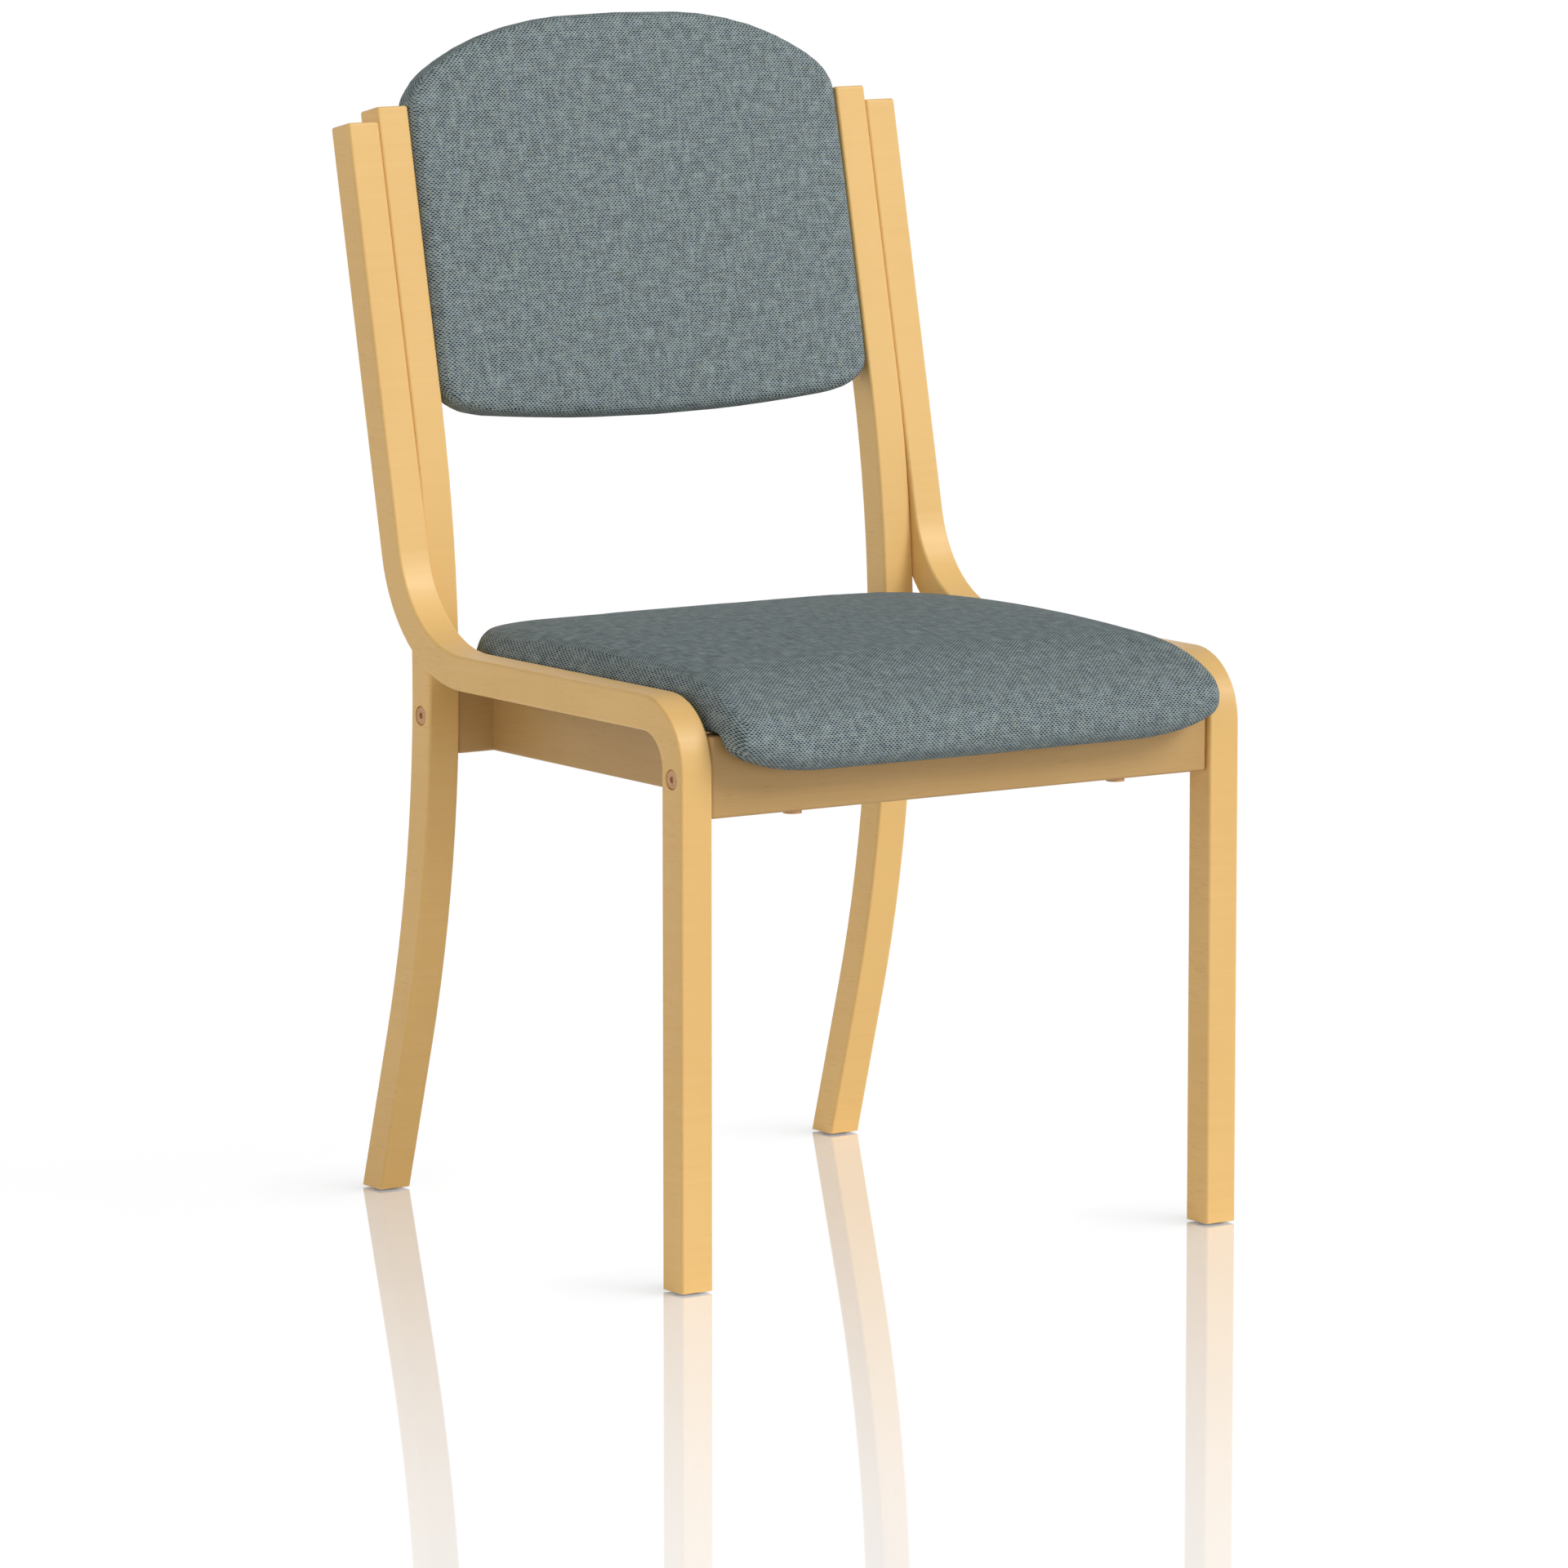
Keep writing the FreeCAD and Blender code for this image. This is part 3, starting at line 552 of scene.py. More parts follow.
@dataclass(frozen=True)
class BeechFinish:
    """Clear lacquered beech."""

    name: str
    run: GrainRun
    body: Colour = linear(238, 194, 120)
    warm: Colour = linear(233, 188, 114)
    fleck: Colour = linear(184, 138, 78)
    band_share: float = 0.3
    cloud_share: float = 0.7
    tone_low: float = 0.34
    tone_high: float = 0.68
    fleck_share: float = 0.30
    smooth: float = 0.34
    rough: float = 0.5
    gloss: float = 0.42
    relief: float = 0.12
    fleck_height: float = -0.0002

    def material(self) -> bpy.types.Material:
        """Makes the beech material."""
        surface = begin(self.name)
        wire = surface.wire
        grain = surface.group(GRAIN.tree, surface.place,
                              Side_Only=1.0 if self.run is GrainRun.BENT else 0.0)
        clouds = wire.maths("MULTIPLY", grain.outputs["Cloud"], self.cloud_share)
        tone = wire.maths("MULTIPLY_ADD", grain.outputs["Band"], self.band_share, clouds)
        wood = wire.mix(wire.step(tone, self.tone_low, self.tone_high), self.body, self.warm)
        share = wire.maths("MULTIPLY", grain.outputs["Fleck"], self.fleck_share)
        wire.feed(surface.shader.inputs["Base Color"], wire.mix(share, wood, self.fleck))
        wire.feed(surface.shader.inputs["Roughness"],
                  wire.span(grain.outputs["Band"], self.smooth, self.rough))
        surface.shader.inputs["Specular IOR Level"].default_value = self.gloss
        surface.bump(grain.outputs["Fleck"], self.relief, self.fleck_height)
        return surface.material


@dataclass(frozen=True)
class WovenFinish:
    """Blue-grey woven upholstery cloth."""

    name: str
    coordinates: Coordinates
    light: Colour = linear(155, 168, 169)
    green: Colour = linear(151, 162, 153)
    blue: Colour = linear(141, 157, 169)
    dark: Colour = linear(22, 28, 32)
    panel_turn: float = math.radians(90.0)
    thread_low: float = 0.25
    thread_high: float = 0.75
    light_share: float = 0.62
    mottle_gain: float = -1.8
    mottle_start: float = 1.9
    hollow_rough: float = 0.95
    thread_rough: float = 0.82
    gloss: float = 0.06
    relief: float = 0.35
    thread_height: float = 0.0004

    def material(self) -> bpy.types.Material:
        """Makes the cloth material."""
        surface = begin(self.name)
        wire = surface.wire
        if self.coordinates is Coordinates.PAD:
            place = wire.add("ShaderNodeUVMap", uv_map=WEAVE_MAP).outputs["UV"]
        else:
            mapping = wire.add("ShaderNodeMapping", vector_type="TEXTURE")
            mapping.inputs["Rotation"].default_value = (self.panel_turn, 0.0, 0.0)
            wire.feed(mapping.inputs["Vector"], surface.place)
            place = mapping.outputs["Vector"]
        weave = surface.group(WEAVE.tree, place)
        kind = wire.step(weave.outputs["Thread"], self.thread_low, self.thread_high)
        yarn = wire.mix(self.light_share, wire.mix(kind, self.green, self.blue), self.light)
        shade = wire.add("ShaderNodeHueSaturation")
        wire.feed(shade.inputs["Color"], yarn)
        wire.feed(shade.inputs["Value"],
                  wire.maths("MULTIPLY_ADD", weave.outputs["Mottle"], self.mottle_gain, self.mottle_start))
        wire.feed(surface.shader.inputs["Base Color"],
                  wire.mix(weave.outputs["Dash"], shade.outputs["Color"], self.dark))
        wire.feed(surface.shader.inputs["Roughness"],
                  wire.span(weave.outputs["Height"], self.hollow_rough, self.thread_rough))
        surface.shader.inputs["Specular IOR Level"].default_value = self.gloss
        surface.bump(weave.outputs["Height"], self.relief, self.thread_height)
        return surface.material


@dataclass(frozen=True)
class SpeckledFinish:
    """A plain finish with fine speckle: metal, plastic, felt or ply."""

    name: str
    body: Colour
    other: Colour
    metallic: float
    smooth: float
    rough: float
    relief: float
    speck_share: float = 0.6
    cloud_share: float = 0.4
    spread_low: float = 0.35
    spread_high: float = 0.65
    speck_height: float = 0.0002

    def material(self) -> bpy.types.Material:
        """Makes the speckled material."""
        surface = begin(self.name)
        wire = surface.wire
        speckle = surface.group(SPECKLE.tree, surface.place)
        clouds = wire.maths("MULTIPLY", speckle.outputs["Cloud"], self.cloud_share)
        share = wire.maths("MULTIPLY_ADD", speckle.outputs["Speck"], self.speck_share, clouds)
        spread = wire.step(share, self.spread_low, self.spread_high)
        wire.feed(surface.shader.inputs["Base Color"], wire.mix(spread, self.body, self.other))
        wire.feed(surface.shader.inputs["Roughness"], wire.span(spread, self.smooth, self.rough))
        surface.shader.inputs["Metallic"].default_value = self.metallic
        surface.bump(speckle.outputs["Speck"], self.relief, self.speck_height)
        return surface.material


def dress_nodes(names: Iterable[str], material: bpy.types.Material) -> None:
    """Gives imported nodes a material.

    Args:
        names: the nodes.
        material: what they are made of.
    """
    for name in names:
        slots = frame["nodes"][name].data.materials
        slots.clear()
        slots.append(material)
        log.info("%s is dressed in %s", name, material.name)


@dataclass
class BeechFrame:
    """The bent bows and uprights, the straight rails and the dowels."""

    bent: tuple[str, ...] = ("left_side_bow", "right_side_bow", "left_rear_upright", "right_rear_upright")
    rails: tuple[str, ...] = ("front_rail", "rear_rail", "left_side_rail", "right_side_rail")
    pegs: tuple[str, ...] = ("rail_dowels", "side_rail_dowels", "post_dowels")

    def dress(self) -> None:
        """Gives the frame its beech, with the rails and dowels darker as painted shade from the seat above.
        """
        dress_nodes(self.bent, BeechFinish("bent_beech", GrainRun.BENT).material())
        # The rails get the same beech darkened as painted shade, standing for the seat's shadow over them.
        rails_with_painted_shade = BeechFinish("rail_beech_painted_shade", GrainRun.RAIL, body=linear(196, 157, 99),
                               warm=linear(190, 151, 93), fleck=linear(154, 114, 65))
        dress_nodes(self.rails + self.pegs, rails_with_painted_shade.material())


@dataclass
class Fixings:
    """Bolts, nuts, pins, glides and the boards and lining that they hold."""

    bolts: tuple[str, ...] = ("leg_bolts", "front_seat_bolts", "rear_seat_bolts")
    inner_steel: tuple[str, ...] = ("barrel_nuts", "seat_tee_nuts", "back_pins", "glide_nails")
    boards: tuple[str, ...] = ("seat_board", "back_board")

    def dress(self) -> None:
        """Gives each fixing its finish."""
        bronze = SpeckledFinish("bronzed_steel", linear(204, 158, 112), linear(184, 138, 94),
                                metallic=0.35, smooth=0.38, rough=0.52, relief=0.05)
        zinc = SpeckledFinish("zinc_steel", linear(178, 180, 182), linear(150, 152, 156),
                              metallic=0.9, smooth=0.3, rough=0.45, relief=0.05)
        plastic = SpeckledFinish("glide_plastic", linear(62, 52, 42), linear(50, 42, 34),
                                 metallic=0.0, smooth=0.45, rough=0.6, relief=0.08)
        felt = SpeckledFinish("black_lining", linear(46, 48, 50), linear(34, 36, 38),
                              metallic=0.0, smooth=0.9, rough=1.0, relief=0.4)
        ply = SpeckledFinish("plywood", linear(214, 180, 132), linear(196, 160, 112),
                             metallic=0.0, smooth=0.55, rough=0.7, relief=0.1)
        dress_nodes(self.bolts, bronze.material())
        dress_nodes(self.inner_steel, zinc.material())
        dress_nodes(("foot_glides",), plastic.material())
        dress_nodes(("seat_lining",), felt.material())
        dress_nodes(self.boards, ply.material())


@dataclass(frozen=True)
class Filling:
    """How cloth under pressure fills a pad: lengths in metres, stiffness in the simulation's own units."""

    ease: float = 0.0016
    cap: float = 0.0030
    pressure: float = 4.0
    frames: int = 20
    quality: int = 5
    mass: float = 0.25
    stretch_stiffness: float = 18.0
    shear_stiffness: float = 8.0
    bending_stiffness: float = 6.0
    hold_levels: tuple[float, ...] = (0.25, 0.5, 0.75, 1.0)
    hold_slack: float = 0.125


@dataclass
class SoftPad:
    """An upholstered pad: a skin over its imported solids, filled by cloth under pressure."""

    name: str
    solids: tuple[str, ...]
    hides: tuple[str, ...]
    fill: float
    filling: Filling = Filling()
    merge_distance: float = 0.00001
    fine_voxel: float = 0.002
    voxel: float = 0.005
    even_times: int = 4
    relax_times: int = 3
    divisions: int = 1

    def skin(self) -> bpy.types.Object:
        """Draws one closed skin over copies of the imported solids.

        Returns:
            The skin, as an object of its own.
        """
        deselect_all()
        copies = []
        for node in self.solids:
            copy = bpy.data.objects.new(self.name, frame["nodes"][node].data.copy())
            bpy.context.scene.collection.objects.link(copy)
            copy.select_set(True)
            copies.append(copy)
        bpy.context.view_layer.objects.active = copies[0]
        bpy.ops.object.join()
        pad = bpy.context.view_layer.objects.active
        pad.data.materials.clear()
        bpy.ops.object.mode_set(mode="EDIT")
        bpy.ops.mesh.select_all(action="SELECT")
        bpy.ops.mesh.remove_doubles(threshold=self.merge_distance)
        bpy.ops.object.mode_set(mode="OBJECT")
        self.remesh(pad, self.fine_voxel)
        return self.outermost(pad)

    def remesh(self, pad: bpy.types.Object, voxel: float) -> None:
        """Remakes a skin from even faces.

        Args:
            pad: the skin.
            voxel: side of its new faces.
        """
        choose(pad)
        skin = pad.modifiers.new("skin", "REMESH")
        skin.mode = "VOXEL"
        skin.voxel_size = voxel
        bpy.ops.object.modifier_apply(modifier=skin.name)

    def outermost(self, pad: bpy.types.Object) -> bpy.types.Object:
        """Drops any closed pocket inside the skin.

        Args:
            pad: the remeshed skin.

        Returns:
            The skin's outer part.
        """
        choose(pad)
        bpy.ops.object.mode_set(mode="EDIT")
        bpy.ops.mesh.select_all(action="SELECT")
        bpy.ops.mesh.separate(type="LOOSE")
        bpy.ops.object.mode_set(mode="OBJECT")
        parts = sorted(bpy.context.selected_objects, key=lambda part: len(part.data.vertices))
        for part in parts[:-1]:
            bpy.data.objects.remove(part)
        return parts[-1]

    def held(self, places: np.ndarray) -> np.ndarray:
        """How firmly each point is held, from 0 for free to 1 where the pad rests on something.

        Args:
            places: the pad's points.

        Returns:
            One share for each point.
        """
        raise NotImplementedError

    def keep_in(self, places: np.ndarray) -> np.ndarray:
        """Keeps points clear of the wood beside the pad.

        Args:
            places: the pad's points.

        Returns:
            The points, moved back where needed.
        """
        raise NotImplementedError

    def weave_places(self, places: np.ndarray, facing: np.ndarray) -> np.ndarray:
        """Lays the cloth's threads over the pad.

        Args:
            places: place of each face corner.
            facing: normal of the face of each corner.

        Returns:
            Along and across the threads for each corner, in metres.
        """
        raise NotImplementedError

    def pinned(self, pad: bpy.types.Object, hold: np.ndarray) -> bpy.types.VertexGroup:
        """Pins each point of the skin as firmly as it is held, in a few levels.

        Args:
            pad: the skin.
            hold: share of each point.

        Returns:
            The group of pinned points.
        """
        pins = pad.vertex_groups.new(name="held")
        for level in self.filling.hold_levels:
            chosen = np.nonzero(hold > level - self.filling.hold_slack)[0].tolist()
            if chosen:
                pins.add(chosen, level, "REPLACE")
        return pins

    def run_cloth(self, pad: bpy.types.Object, pins: bpy.types.VertexGroup) -> None:
        """Lets cloth under pressure fill the active skin out, and keeps the form it comes to.

        Args:
            pad: the skin.
            pins: its pinned points.
        """
        cloth = pad.modifiers.new("filling", "CLOTH")
        settings = cloth.settings
        settings.quality = self.filling.quality
        settings.mass = self.filling.mass
        settings.tension_stiffness = self.filling.stretch_stiffness
        settings.compression_stiffness = self.filling.stretch_stiffness
        settings.shear_stiffness = self.filling.shear_stiffness
        settings.bending_stiffness = self.filling.bending_stiffness
        settings.use_pressure = True
        settings.uniform_pressure_force = self.filling.pressure
        settings.effector_weights.gravity = 0.0
        settings.vertex_group_mass = pins.name
        cloth.collision_settings.use_collision = False
        cloth.point_cache.frame_start = FIRST_FRAME
        cloth.point_cache.frame_end = self.filling.frames
        scene = bpy.context.scene
        for step in range(FIRST_FRAME, self.filling.frames + 1):
            scene.frame_set(step)
        bpy.ops.object.modifier_apply(modifier=cloth.name)
        scene.frame_set(FIRST_FRAME)

    def inflate(self, pad: bpy.types.Object) -> None:
        """Draws the skin in a little, then fills it out, no point further than the cap.

        Args:
            pad: the skin.
        """
        choose(pad)
        mesh = pad.data
        before = points_of(mesh)
        hold = self.held(before)
        drawn = before - normals_of(mesh) * self.filling.ease * (1.0 - hold)[:, None]
        move_points(mesh, drawn)
        self.run_cloth(pad, self.pinned(pad, hold))
        shift = points_of(mesh) - drawn
        moved = np.maximum(np.linalg.norm(shift, axis=1), np.finfo(float).eps)
        capped = drawn + shift * np.minimum(1.0, self.filling.cap / moved)[:, None]
        move_points(mesh, self.keep_in(capped))
        pad.vertex_groups.clear()

    def finish_skin(self, pad: bpy.types.Object, shell: bpy.types.Object) -> None:
        """Evens the skin out, divides it, fills it out to its packed form and shades it smooth.

        Args:
            pad: the filled skin.
            shell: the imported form.
        """
        choose(pad)
        smooth_out(pad, self.even_times)
        divide = pad.modifiers.new("divide", "SUBSURF")
        divide.levels = self.divisions
        divide.render_levels = self.divisions
        bpy.ops.object.modifier_apply(modifier=divide.name)
        filled = pad.modifiers.new("filled", "SHRINKWRAP")
        filled.target = shell
        filled.wrap_method = "NEAREST_SURFACEPOINT"
        filled.wrap_mode = "OUTSIDE"
        bpy.ops.object.modifier_apply(modifier=filled.name)
        smooth_out(pad, self.relax_times)
        move_points(pad.data, self.keep_in(points_of(pad.data)))
        bpy.ops.object.shade_smooth()

    def lay_weave(self, pad: bpy.types.Object) -> None:
        """Writes the cloth's threads to the pad's weave map.

        Args:
            pad: the finished skin.
        """
        mesh = pad.data
        corners = np.empty(len(mesh.loops), np.int32)
        mesh.loops.foreach_get("vertex_index", corners)
        counts = np.empty(len(mesh.polygons), np.int32)
        mesh.polygons.foreach_get("loop_total", counts)
        normals = np.empty(len(mesh.polygons) * 3)
        mesh.polygons.foreach_get("normal", normals)
        facing = np.repeat(normals.reshape(-1, 3), counts, axis=0)
        threads = self.weave_places(points_of(mesh)[corners], facing)
        layer = mesh.uv_layers.new(name=WEAVE_MAP)
        layer.data.foreach_set("uv", threads.astype(np.float32).ravel())

    def build(self, material: bpy.types.Material) -> None:
        """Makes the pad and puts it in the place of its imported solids.

        Args:
            material: the cloth.
        """
        shell = self.skin()
        pad = bpy.data.objects.new(self.name, shell.data.copy())
        bpy.context.scene.collection.objects.link(pad)
        self.remesh(pad, self.voxel)
        self.inflate(pad)
        self.finish_skin(pad, shell)
        bpy.data.objects.remove(shell)
        pad.name = self.name
        self.lay_weave(pad)
        pad.data.materials.append(material)
        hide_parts(*self.hides)
        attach(pad, "root")
        log.info("%s has %d faces", self.name, len(pad.data.polygons))


@dataclass
class SeatPad(SoftPad):
    """The seat: crowned, rolled at its sides, its nose wrapped over the front rail."""

    name: str = "seat_pad"
    solids: tuple[str, ...] = ("seat_cover", "seat_foam", "seat_board", "seat_tee_nuts")
    hides: tuple[str, ...] = ("seat_cover", "seat_foam")
    fill: float = 0.85
    half: float = 0.2174
    base: float = 0.4078
    nose: float = -0.2614
    rear: float = 0.1558
    lip_back: float = -0.2302
    held_height: float = 0.008
    held_fade: float = 0.006
    held_lip: float = 0.002
    side_room: float = 0.001
    nose_room: float = 0.0015
    rear_room: float = 0.0005
    lip_room: float = 0.001
    nose_top: float = -0.165
    pivot_level: float = 0.412
    nose_end: float = 2.6
    nose_steps: int = 60
    middle: float = 0.02
    lip_turn: float = 0.2
    rear_turn: float = 0.75
    side_turn: float = 0.62
    side_stretch: float = 0.70
    side_roll: float = 0.5

    def held(self, places: np.ndarray) -> np.ndarray:
        """Holds the underside and the back of the lip.

        Args:
            places: the pad's points.

        Returns:
            One share for each point.
        """
        low = ramp(self.base + self.held_height - places[:, 2], self.held_fade)
        return low * (places[:, 1] > self.lip_back - self.held_lip)

    def keep_in(self, places: np.ndarray) -> np.ndarray:
        """Keeps the pad between the bows, before the uprights and above the rails.

        Args:
            places: the pad's points.

        Returns:
            The points, moved back where needed.
        """
        kept = places.copy()
        kept[:, 0] = np.clip(kept[:, 0], -self.half - self.side_room, self.half + self.side_room)
        kept[:, 1] = np.clip(kept[:, 1], self.nose - self.nose_room, self.rear + self.rear_room)
        behind = kept[:, 1] > self.lip_back + self.lip_room
        kept[behind, 2] = np.maximum(kept[behind, 2], self.base)
        return kept

    def nose_run(self, angles: np.ndarray, section: np.ndarray) -> tuple[np.ndarray, np.ndarray]:
        """Measures the way along the skin over the nose, at the seat's middle.

        Args:
            angles: angle of each point round the nose, 0 at its top.
            section: y and z of each point.

        Returns:
            Angles in rising order, and how far along the skin each lies from the nose's top.
        """
        index = np.digitize(angles, np.linspace(0.0, self.nose_end, self.nose_steps))
        sectors = [index == step for step in range(1, self.nose_steps) if (index == step).any()]
        line = np.array([section[sector].mean(axis=0) for sector in sectors])
        line = np.concatenate([[[self.nose_top, line[0, 1]]], line])
        marks = np.array([0.0] + [angles[sector].mean() for sector in sectors])
        run = np.concatenate([[0.0], np.cumsum(np.linalg.norm(np.diff(line, axis=0), axis=1))])
        return marks, run

    def weave_places(self, places: np.ndarray, facing: np.ndarray) -> np.ndarray:
        """Runs the threads straight over the top and round the nose, and level along the sides.

        Args:
            places: place of each face corner.
            facing: normal of the face of each corner.

        Returns:
            Along and across the threads for each corner, in metres.
        """
        x, y, z = places.T
        ahead = y < self.nose_top
        angle = math.pi / 2.0 - np.arctan2(z - self.pivot_level, self.nose_top - y)
        outer = (facing[:, 1] < self.lip_turn) & ((y < self.lip_back) | (z > self.pivot_level))
        over = ahead & (np.abs(x) < self.middle) & outer & (angle < self.nose_end)
        wrapped = -np.interp(angle, *self.nose_run(angle[over], places[over, 1:]))
        threads = np.stack([x, np.where(ahead, wrapped, y - self.nose_top)], axis=1)
        rear = facing[:, 1] > self.rear_turn
        threads[rear, 1] = self.rear - self.nose_top - z[rear]
        sides = np.abs(facing[:, 0]) > self.side_turn
        threads[sides, 0] = y[sides] * self.side_stretch
        threads[sides, 1] = z[sides] + self.side_roll * (self.half - np.abs(x[sides]))
        return threads


@dataclass
class BackPad(SoftPad):
    """The back: an arched pad held between the uprights."""

    name: str = "back_pad"
    solids: tuple[str, ...] = ("back_cover", "back_foam", "back_board", "back_pins")
    hides: tuple[str, ...] = ("back_cover", "back_foam")
    fill: float = 0.85
    half: float = 0.1957
    lean: float = math.radians(12.2)
    held_rear: float = 0.009
    rear_fade: float = 0.006
    held_side: float = 0.005
    side_fade: float = 0.004
    side_turn: float = 0.6
    end_turn: float = 0.72

    def tilt(self, places: np.ndarray) -> tuple[np.ndarray, np.ndarray]:
        """Splits places into how far up the posts and how far forward of them.

        Args:
            places: points in the chair's frame.

        Returns:
            Distance up along the posts, and distance forward from the origin's plane.
        """
        up = places[:, 1] * math.sin(self.lean) + places[:, 2] * math.cos(self.lean)
        out = -places[:, 1] * math.cos(self.lean) + places[:, 2] * math.sin(self.lean)
        return up, out

    def held(self, places: np.ndarray) -> np.ndarray:
        """Holds the rear, where the board is, and the sides against the uprights.

        Args:
            places: the pad's points.

        Returns:
            One share for each point.
        """
        out = self.tilt(places)[1]
        rear = ramp(out.min() + self.held_rear - out, self.rear_fade)
        sides = ramp(np.abs(places[:, 0]) - self.half + self.held_side, self.side_fade)
        return np.maximum(rear, sides)

    def keep_in(self, places: np.ndarray) -> np.ndarray:
        """Keeps the pad between the uprights.

        Args:
            places: the pad's points.

        Returns:
            The points, moved back where needed.
        """
        kept = places.copy()
        kept[:, 0] = np.clip(kept[:, 0], -self.half, self.half)
        return kept

    def weave_places(self, places: np.ndarray, facing: np.ndarray) -> np.ndarray:
        """Runs the threads straight across the face, and turns them round the edges.

        Args:
            places: place of each face corner.
            facing: normal of the face of each corner.

        Returns:
            Along and across the threads for each corner, in metres.
        """
        up, out = self.tilt(places)
        threads = np.stack([places[:, 0], up], axis=1)
        ends = np.abs(self.tilt(facing)[0]) > self.end_turn
        threads[ends, 1] = out[ends]
        sides = np.abs(facing[:, 0]) > self.side_turn
        threads[sides, 0] = out[sides]
        threads[sides, 1] = up[sides]
        return threads


@dataclass
class Studio:
    """Pale floor, soft light and the camera of the portrait."""

    eye: tuple[float, float, float] = (-3.6812, -5.4675, 1.2893)
    aim: tuple[float, float, float] = (-0.000136, 0.00862, 0.32627)
    lens: float = 202.106
    sensor_width: float = 36.0
    clip_near: float = 0.1
    clip_far: float = 200.0
    lamp_from: tuple[float, float, float] = (0.45, -0.64, 0.62)
    lamp_spread: float = math.radians(26.0)
    lamp_strength: float = 1.74
    horizon: float = 2.56
    horizon_power: float = 4.0
    zenith: float = 0.05
    left_glow: float = 0.20
    floor_size: float = 40.0
    floor_matt: Colour = (0.15, 0.15, 0.15, 1.0)
    floor_glow: float = 0.94
    shade_from: tuple[float, float, float] = (0.44, -0.85, 0.30)
    shade_reach: float = 0.10
    shade_samples: int = 6
    polish_rough: float = 0.03
    polish_run: tuple[float, float] = (-0.56, -0.83)
    polish_start: float = -0.35
    polish_end: float = 1.45
    polish_far: float = 0.62
    polish_near: float = 0.22
    slant_blend: float = 0.5
    slant_low: float = 0.2
    slant_high: float = 0.8
    bounce_start: float = 0.4
    bounce_end: float = 1.4
    bounce_near: float = 0.90
    bounce_far: float = 0.60

    def camera(self) -> None:
        """Stands the camera where the photograph was taken from."""
        data = bpy.data.cameras.new("portrait_camera")
        data.sensor_width = self.sensor_width
        data.lens = self.lens
        data.clip_start = self.clip_near
        data.clip_end = self.clip_far
        camera = bpy.data.objects.new("portrait_camera", data)
        camera.location = self.eye
        camera.rotation_mode = "QUATERNION"
        camera.rotation_quaternion = (Vector(self.aim) - Vector(self.eye)).to_track_quat("-Z", "Y")
        bpy.context.scene.collection.objects.link(camera)
        bpy.context.scene.camera = camera

    def lamp(self) -> None:
        """Hangs the large soft lamp in front, to the right."""
        data = bpy.data.lights.new("soft_lamp", "SUN")
        data.angle = self.lamp_spread
        data.energy = self.lamp_strength
        lamp = bpy.data.objects.new("soft_lamp", data)
        lamp.rotation_mode = "QUATERNION"
        lamp.rotation_quaternion = Vector(self.lamp_from).to_track_quat("Z", "Y")
        bpy.context.scene.collection.objects.link(lamp)

    def seen(self, wire: Wiring) -> bpy.types.NodeSocket:
        """Tells what the camera sees, straight or in a polished surface, from what only lights.

        Args:
            wire: the tree it goes into.

        Returns:
            1 for what is seen and 0 for the rest.
        """
        path = wire.add("ShaderNodeLightPath")
        mirrored = wire.maths("MAXIMUM", path.outputs["Is Glossy Ray"], path.outputs["Is Transmission Ray"])
        return wire.maths("MAXIMUM", path.outputs["Is Camera Ray"], mirrored)

    def surroundings(self) -> None:
        """Lights the room softly, most from its walls, and shows it white."""
        world = bpy.data.worlds.new("studio_room")
        bpy.context.scene.world = world
        world.use_nodes = True
        wire = Wiring(world.node_tree)
        output = world.node_tree.nodes["World Output"]
        glow = world.node_tree.nodes["Background"]
        glow.inputs["Color"].default_value = WHITE
        split = wire.axes(wire.add("ShaderNodeTexCoord").outputs["Generated"])
        level = wire.maths("SUBTRACT", 1.0, wire.maths("ABSOLUTE", split.outputs["Z"]))
        band = wire.maths("POWER", level, self.horizon_power)
        walls = wire.maths("MULTIPLY_ADD", band, self.horizon, self.zenith)
        left = wire.maths("MAXIMUM", wire.maths("MULTIPLY", split.outputs["X"], -1.0), 0.0)
        wire.feed(glow.inputs["Strength"], wire.maths("MULTIPLY_ADD", left, self.left_glow, walls))
        white = wire.add("ShaderNodeBackground")
        white.inputs["Color"].default_value = WHITE
        room = wire.blend(self.seen(wire), glow.outputs[0], white.outputs[0])
        wire.feed(output.inputs["Surface"], room)

    def shaded_floor(self, wire: Wiring) -> bpy.types.NodeSocket:
        """Makes the floor's white, dimmed close to what stands on it.

        Args:
            wire: the floor's tree.

        Returns:
            The shader.
        """
        matt = wire.add("ShaderNodeBsdfDiffuse")
        matt.inputs["Color"].default_value = self.floor_matt
        towards = wire.add("ShaderNodeCombineXYZ")
        for socket, part in zip(towards.inputs, self.shade_from):
            socket.default_value = part
        shade = wire.add("ShaderNodeAmbientOcclusion", samples=self.shade_samples)
        shade.inputs["Distance"].default_value = self.shade_reach
        wire.feed(shade.inputs["Normal"], towards.outputs[0])
        glow = wire.add("ShaderNodeEmission")
        wire.feed(glow.inputs["Strength"], wire.span(shade.outputs["AO"], 0.0, self.floor_glow))
        both = wire.add("ShaderNodeAddShader")
        wire.feed(both.inputs[0], matt.outputs[0])
        wire.feed(both.inputs[1], glow.outputs[0])
        return both.outputs[0]

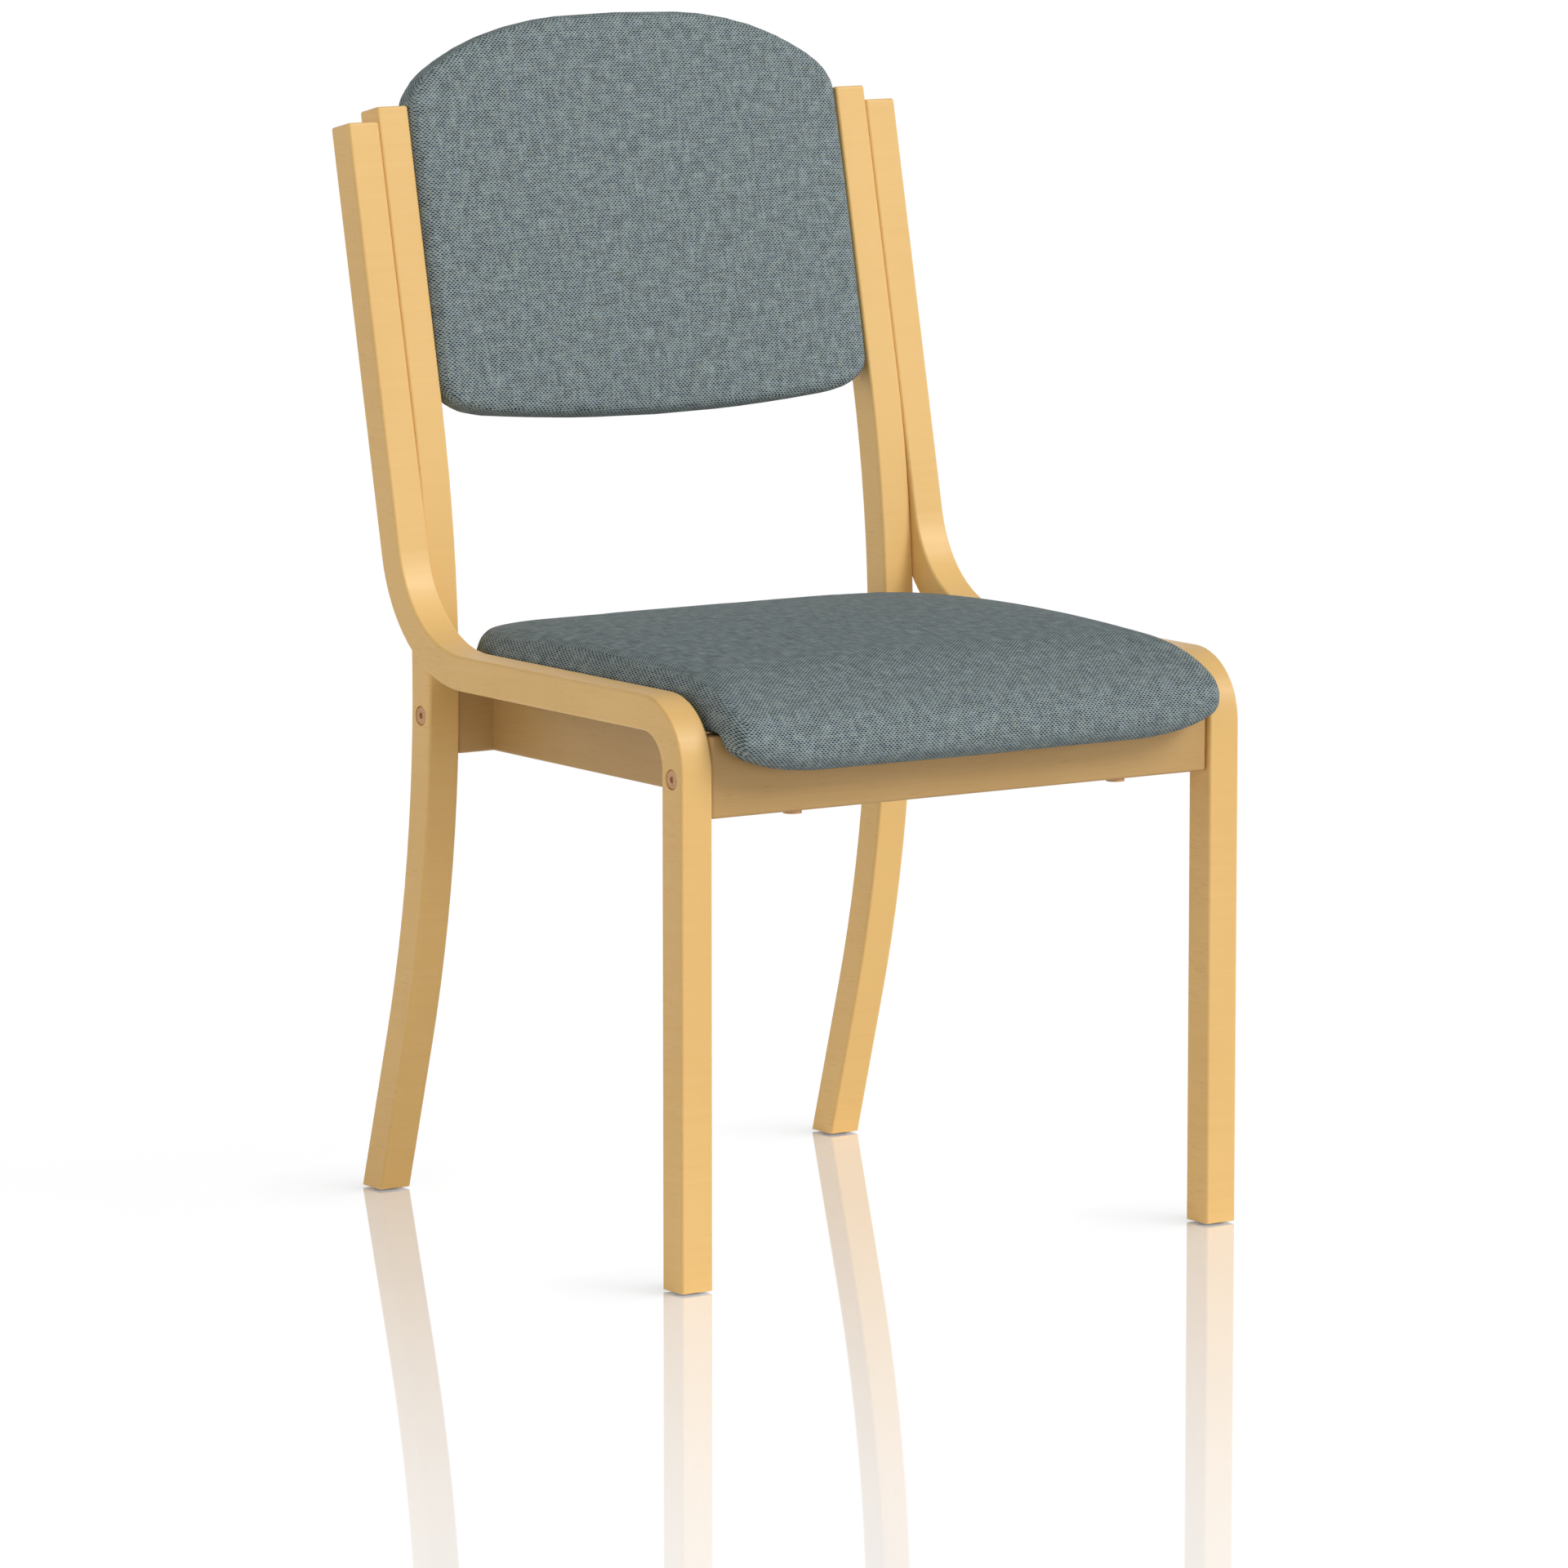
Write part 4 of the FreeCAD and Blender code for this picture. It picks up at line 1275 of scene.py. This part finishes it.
    def polished_floor(self, wire: Wiring, split: bpy.types.Node) -> bpy.types.NodeSocket:
        """Lays a polish over the floor's white, which fades out across the floor.

        Args:
            wire: the floor's tree.
            split: places on the floor.

        Returns:
            The shader.
        """
        polish = wire.add("ShaderNodeBsdfGlossy")
        polish.inputs["Color"].default_value = WHITE
        polish.inputs["Roughness"].default_value = self.polish_rough
        along_x, along_y = self.polish_run
        sideways = wire.maths("MULTIPLY", split.outputs["X"], along_x)
        run = wire.maths("MULTIPLY_ADD", split.outputs["Y"], along_y, sideways)
        worn = wire.step(run, self.polish_start, self.polish_end)
        fading = wire.span(worn, self.polish_far, self.polish_near)
        slant = wire.add("ShaderNodeLayerWeight")
        slant.inputs["Blend"].default_value = self.slant_blend
        flat = wire.step(slant.outputs["Facing"], self.slant_low, self.slant_high)
        return wire.blend(wire.maths("MULTIPLY", fading, flat), self.shaded_floor(wire), polish.outputs[0])

    def lighting_floor(self, wire: Wiring, split: bpy.types.Node) -> bpy.types.NodeSocket:
        """Makes the floor that only throws light back up, less of it far from the chair.

        Args:
            wire: the floor's tree.
            split: places on the floor.

        Returns:
            The shader.
        """
        away = wire.reach(split.outputs["X"], split.outputs["Y"])
        share = wire.step(away, self.bounce_start, self.bounce_end)
        bounce = wire.span(share, self.bounce_near, self.bounce_far)
        pale = wire.add("ShaderNodeCombineXYZ")
        for channel in pale.inputs:
            wire.feed(channel, bounce)
        plain = wire.add("ShaderNodeBsdfDiffuse")
        wire.feed(plain.inputs["Color"], pale.outputs[0])
        return plain.outputs[0]

    def floor(self) -> None:
        """Lays the polished white floor, which takes the chair's reflection and a faint shadow."""
        deselect_all()
        bpy.ops.mesh.primitive_plane_add(size=self.floor_size, location=(0.0, 0.0, 0.0))
        floor = bpy.context.active_object
        floor.name = "studio_floor"
        material = bpy.data.materials.new("studio_floor")
        material.use_nodes = True
        wire = Wiring(material.node_tree)
        material.node_tree.nodes.remove(material.node_tree.nodes["Principled BSDF"])
        output = material.node_tree.nodes["Material Output"]
        split = wire.axes(wire.add("ShaderNodeTexCoord").outputs["Object"])
        below = self.lighting_floor(wire, split)
        wire.feed(output.inputs["Surface"],
                  wire.blend(self.seen(wire), below, self.polished_floor(wire, split)))
        floor.data.materials.append(material)

    def build(self) -> None:
        """Sets up camera, light and floor."""
        bpy.context.scene.view_settings.view_transform = "Standard"
        self.camera()
        self.lamp()
        self.surroundings()
        self.floor()
        log.info("the studio is lit")


def main() -> None:
    """Dresses the frame, makes the pads and sets up the studio."""
    logging.basicConfig(level=logging.INFO, format="%(name)s: %(message)s")
    Studio().build()
    BeechFrame().dress()
    Fixings().dress()
    cloth = WovenFinish("woven_cloth", Coordinates.PAD).material()
    SeatPad().build(cloth)
    BackPad().build(cloth)
    dress_nodes(("back_lining",), WovenFinish("woven_panel", Coordinates.PANEL).material())


if __name__ == "__main__":
    main()
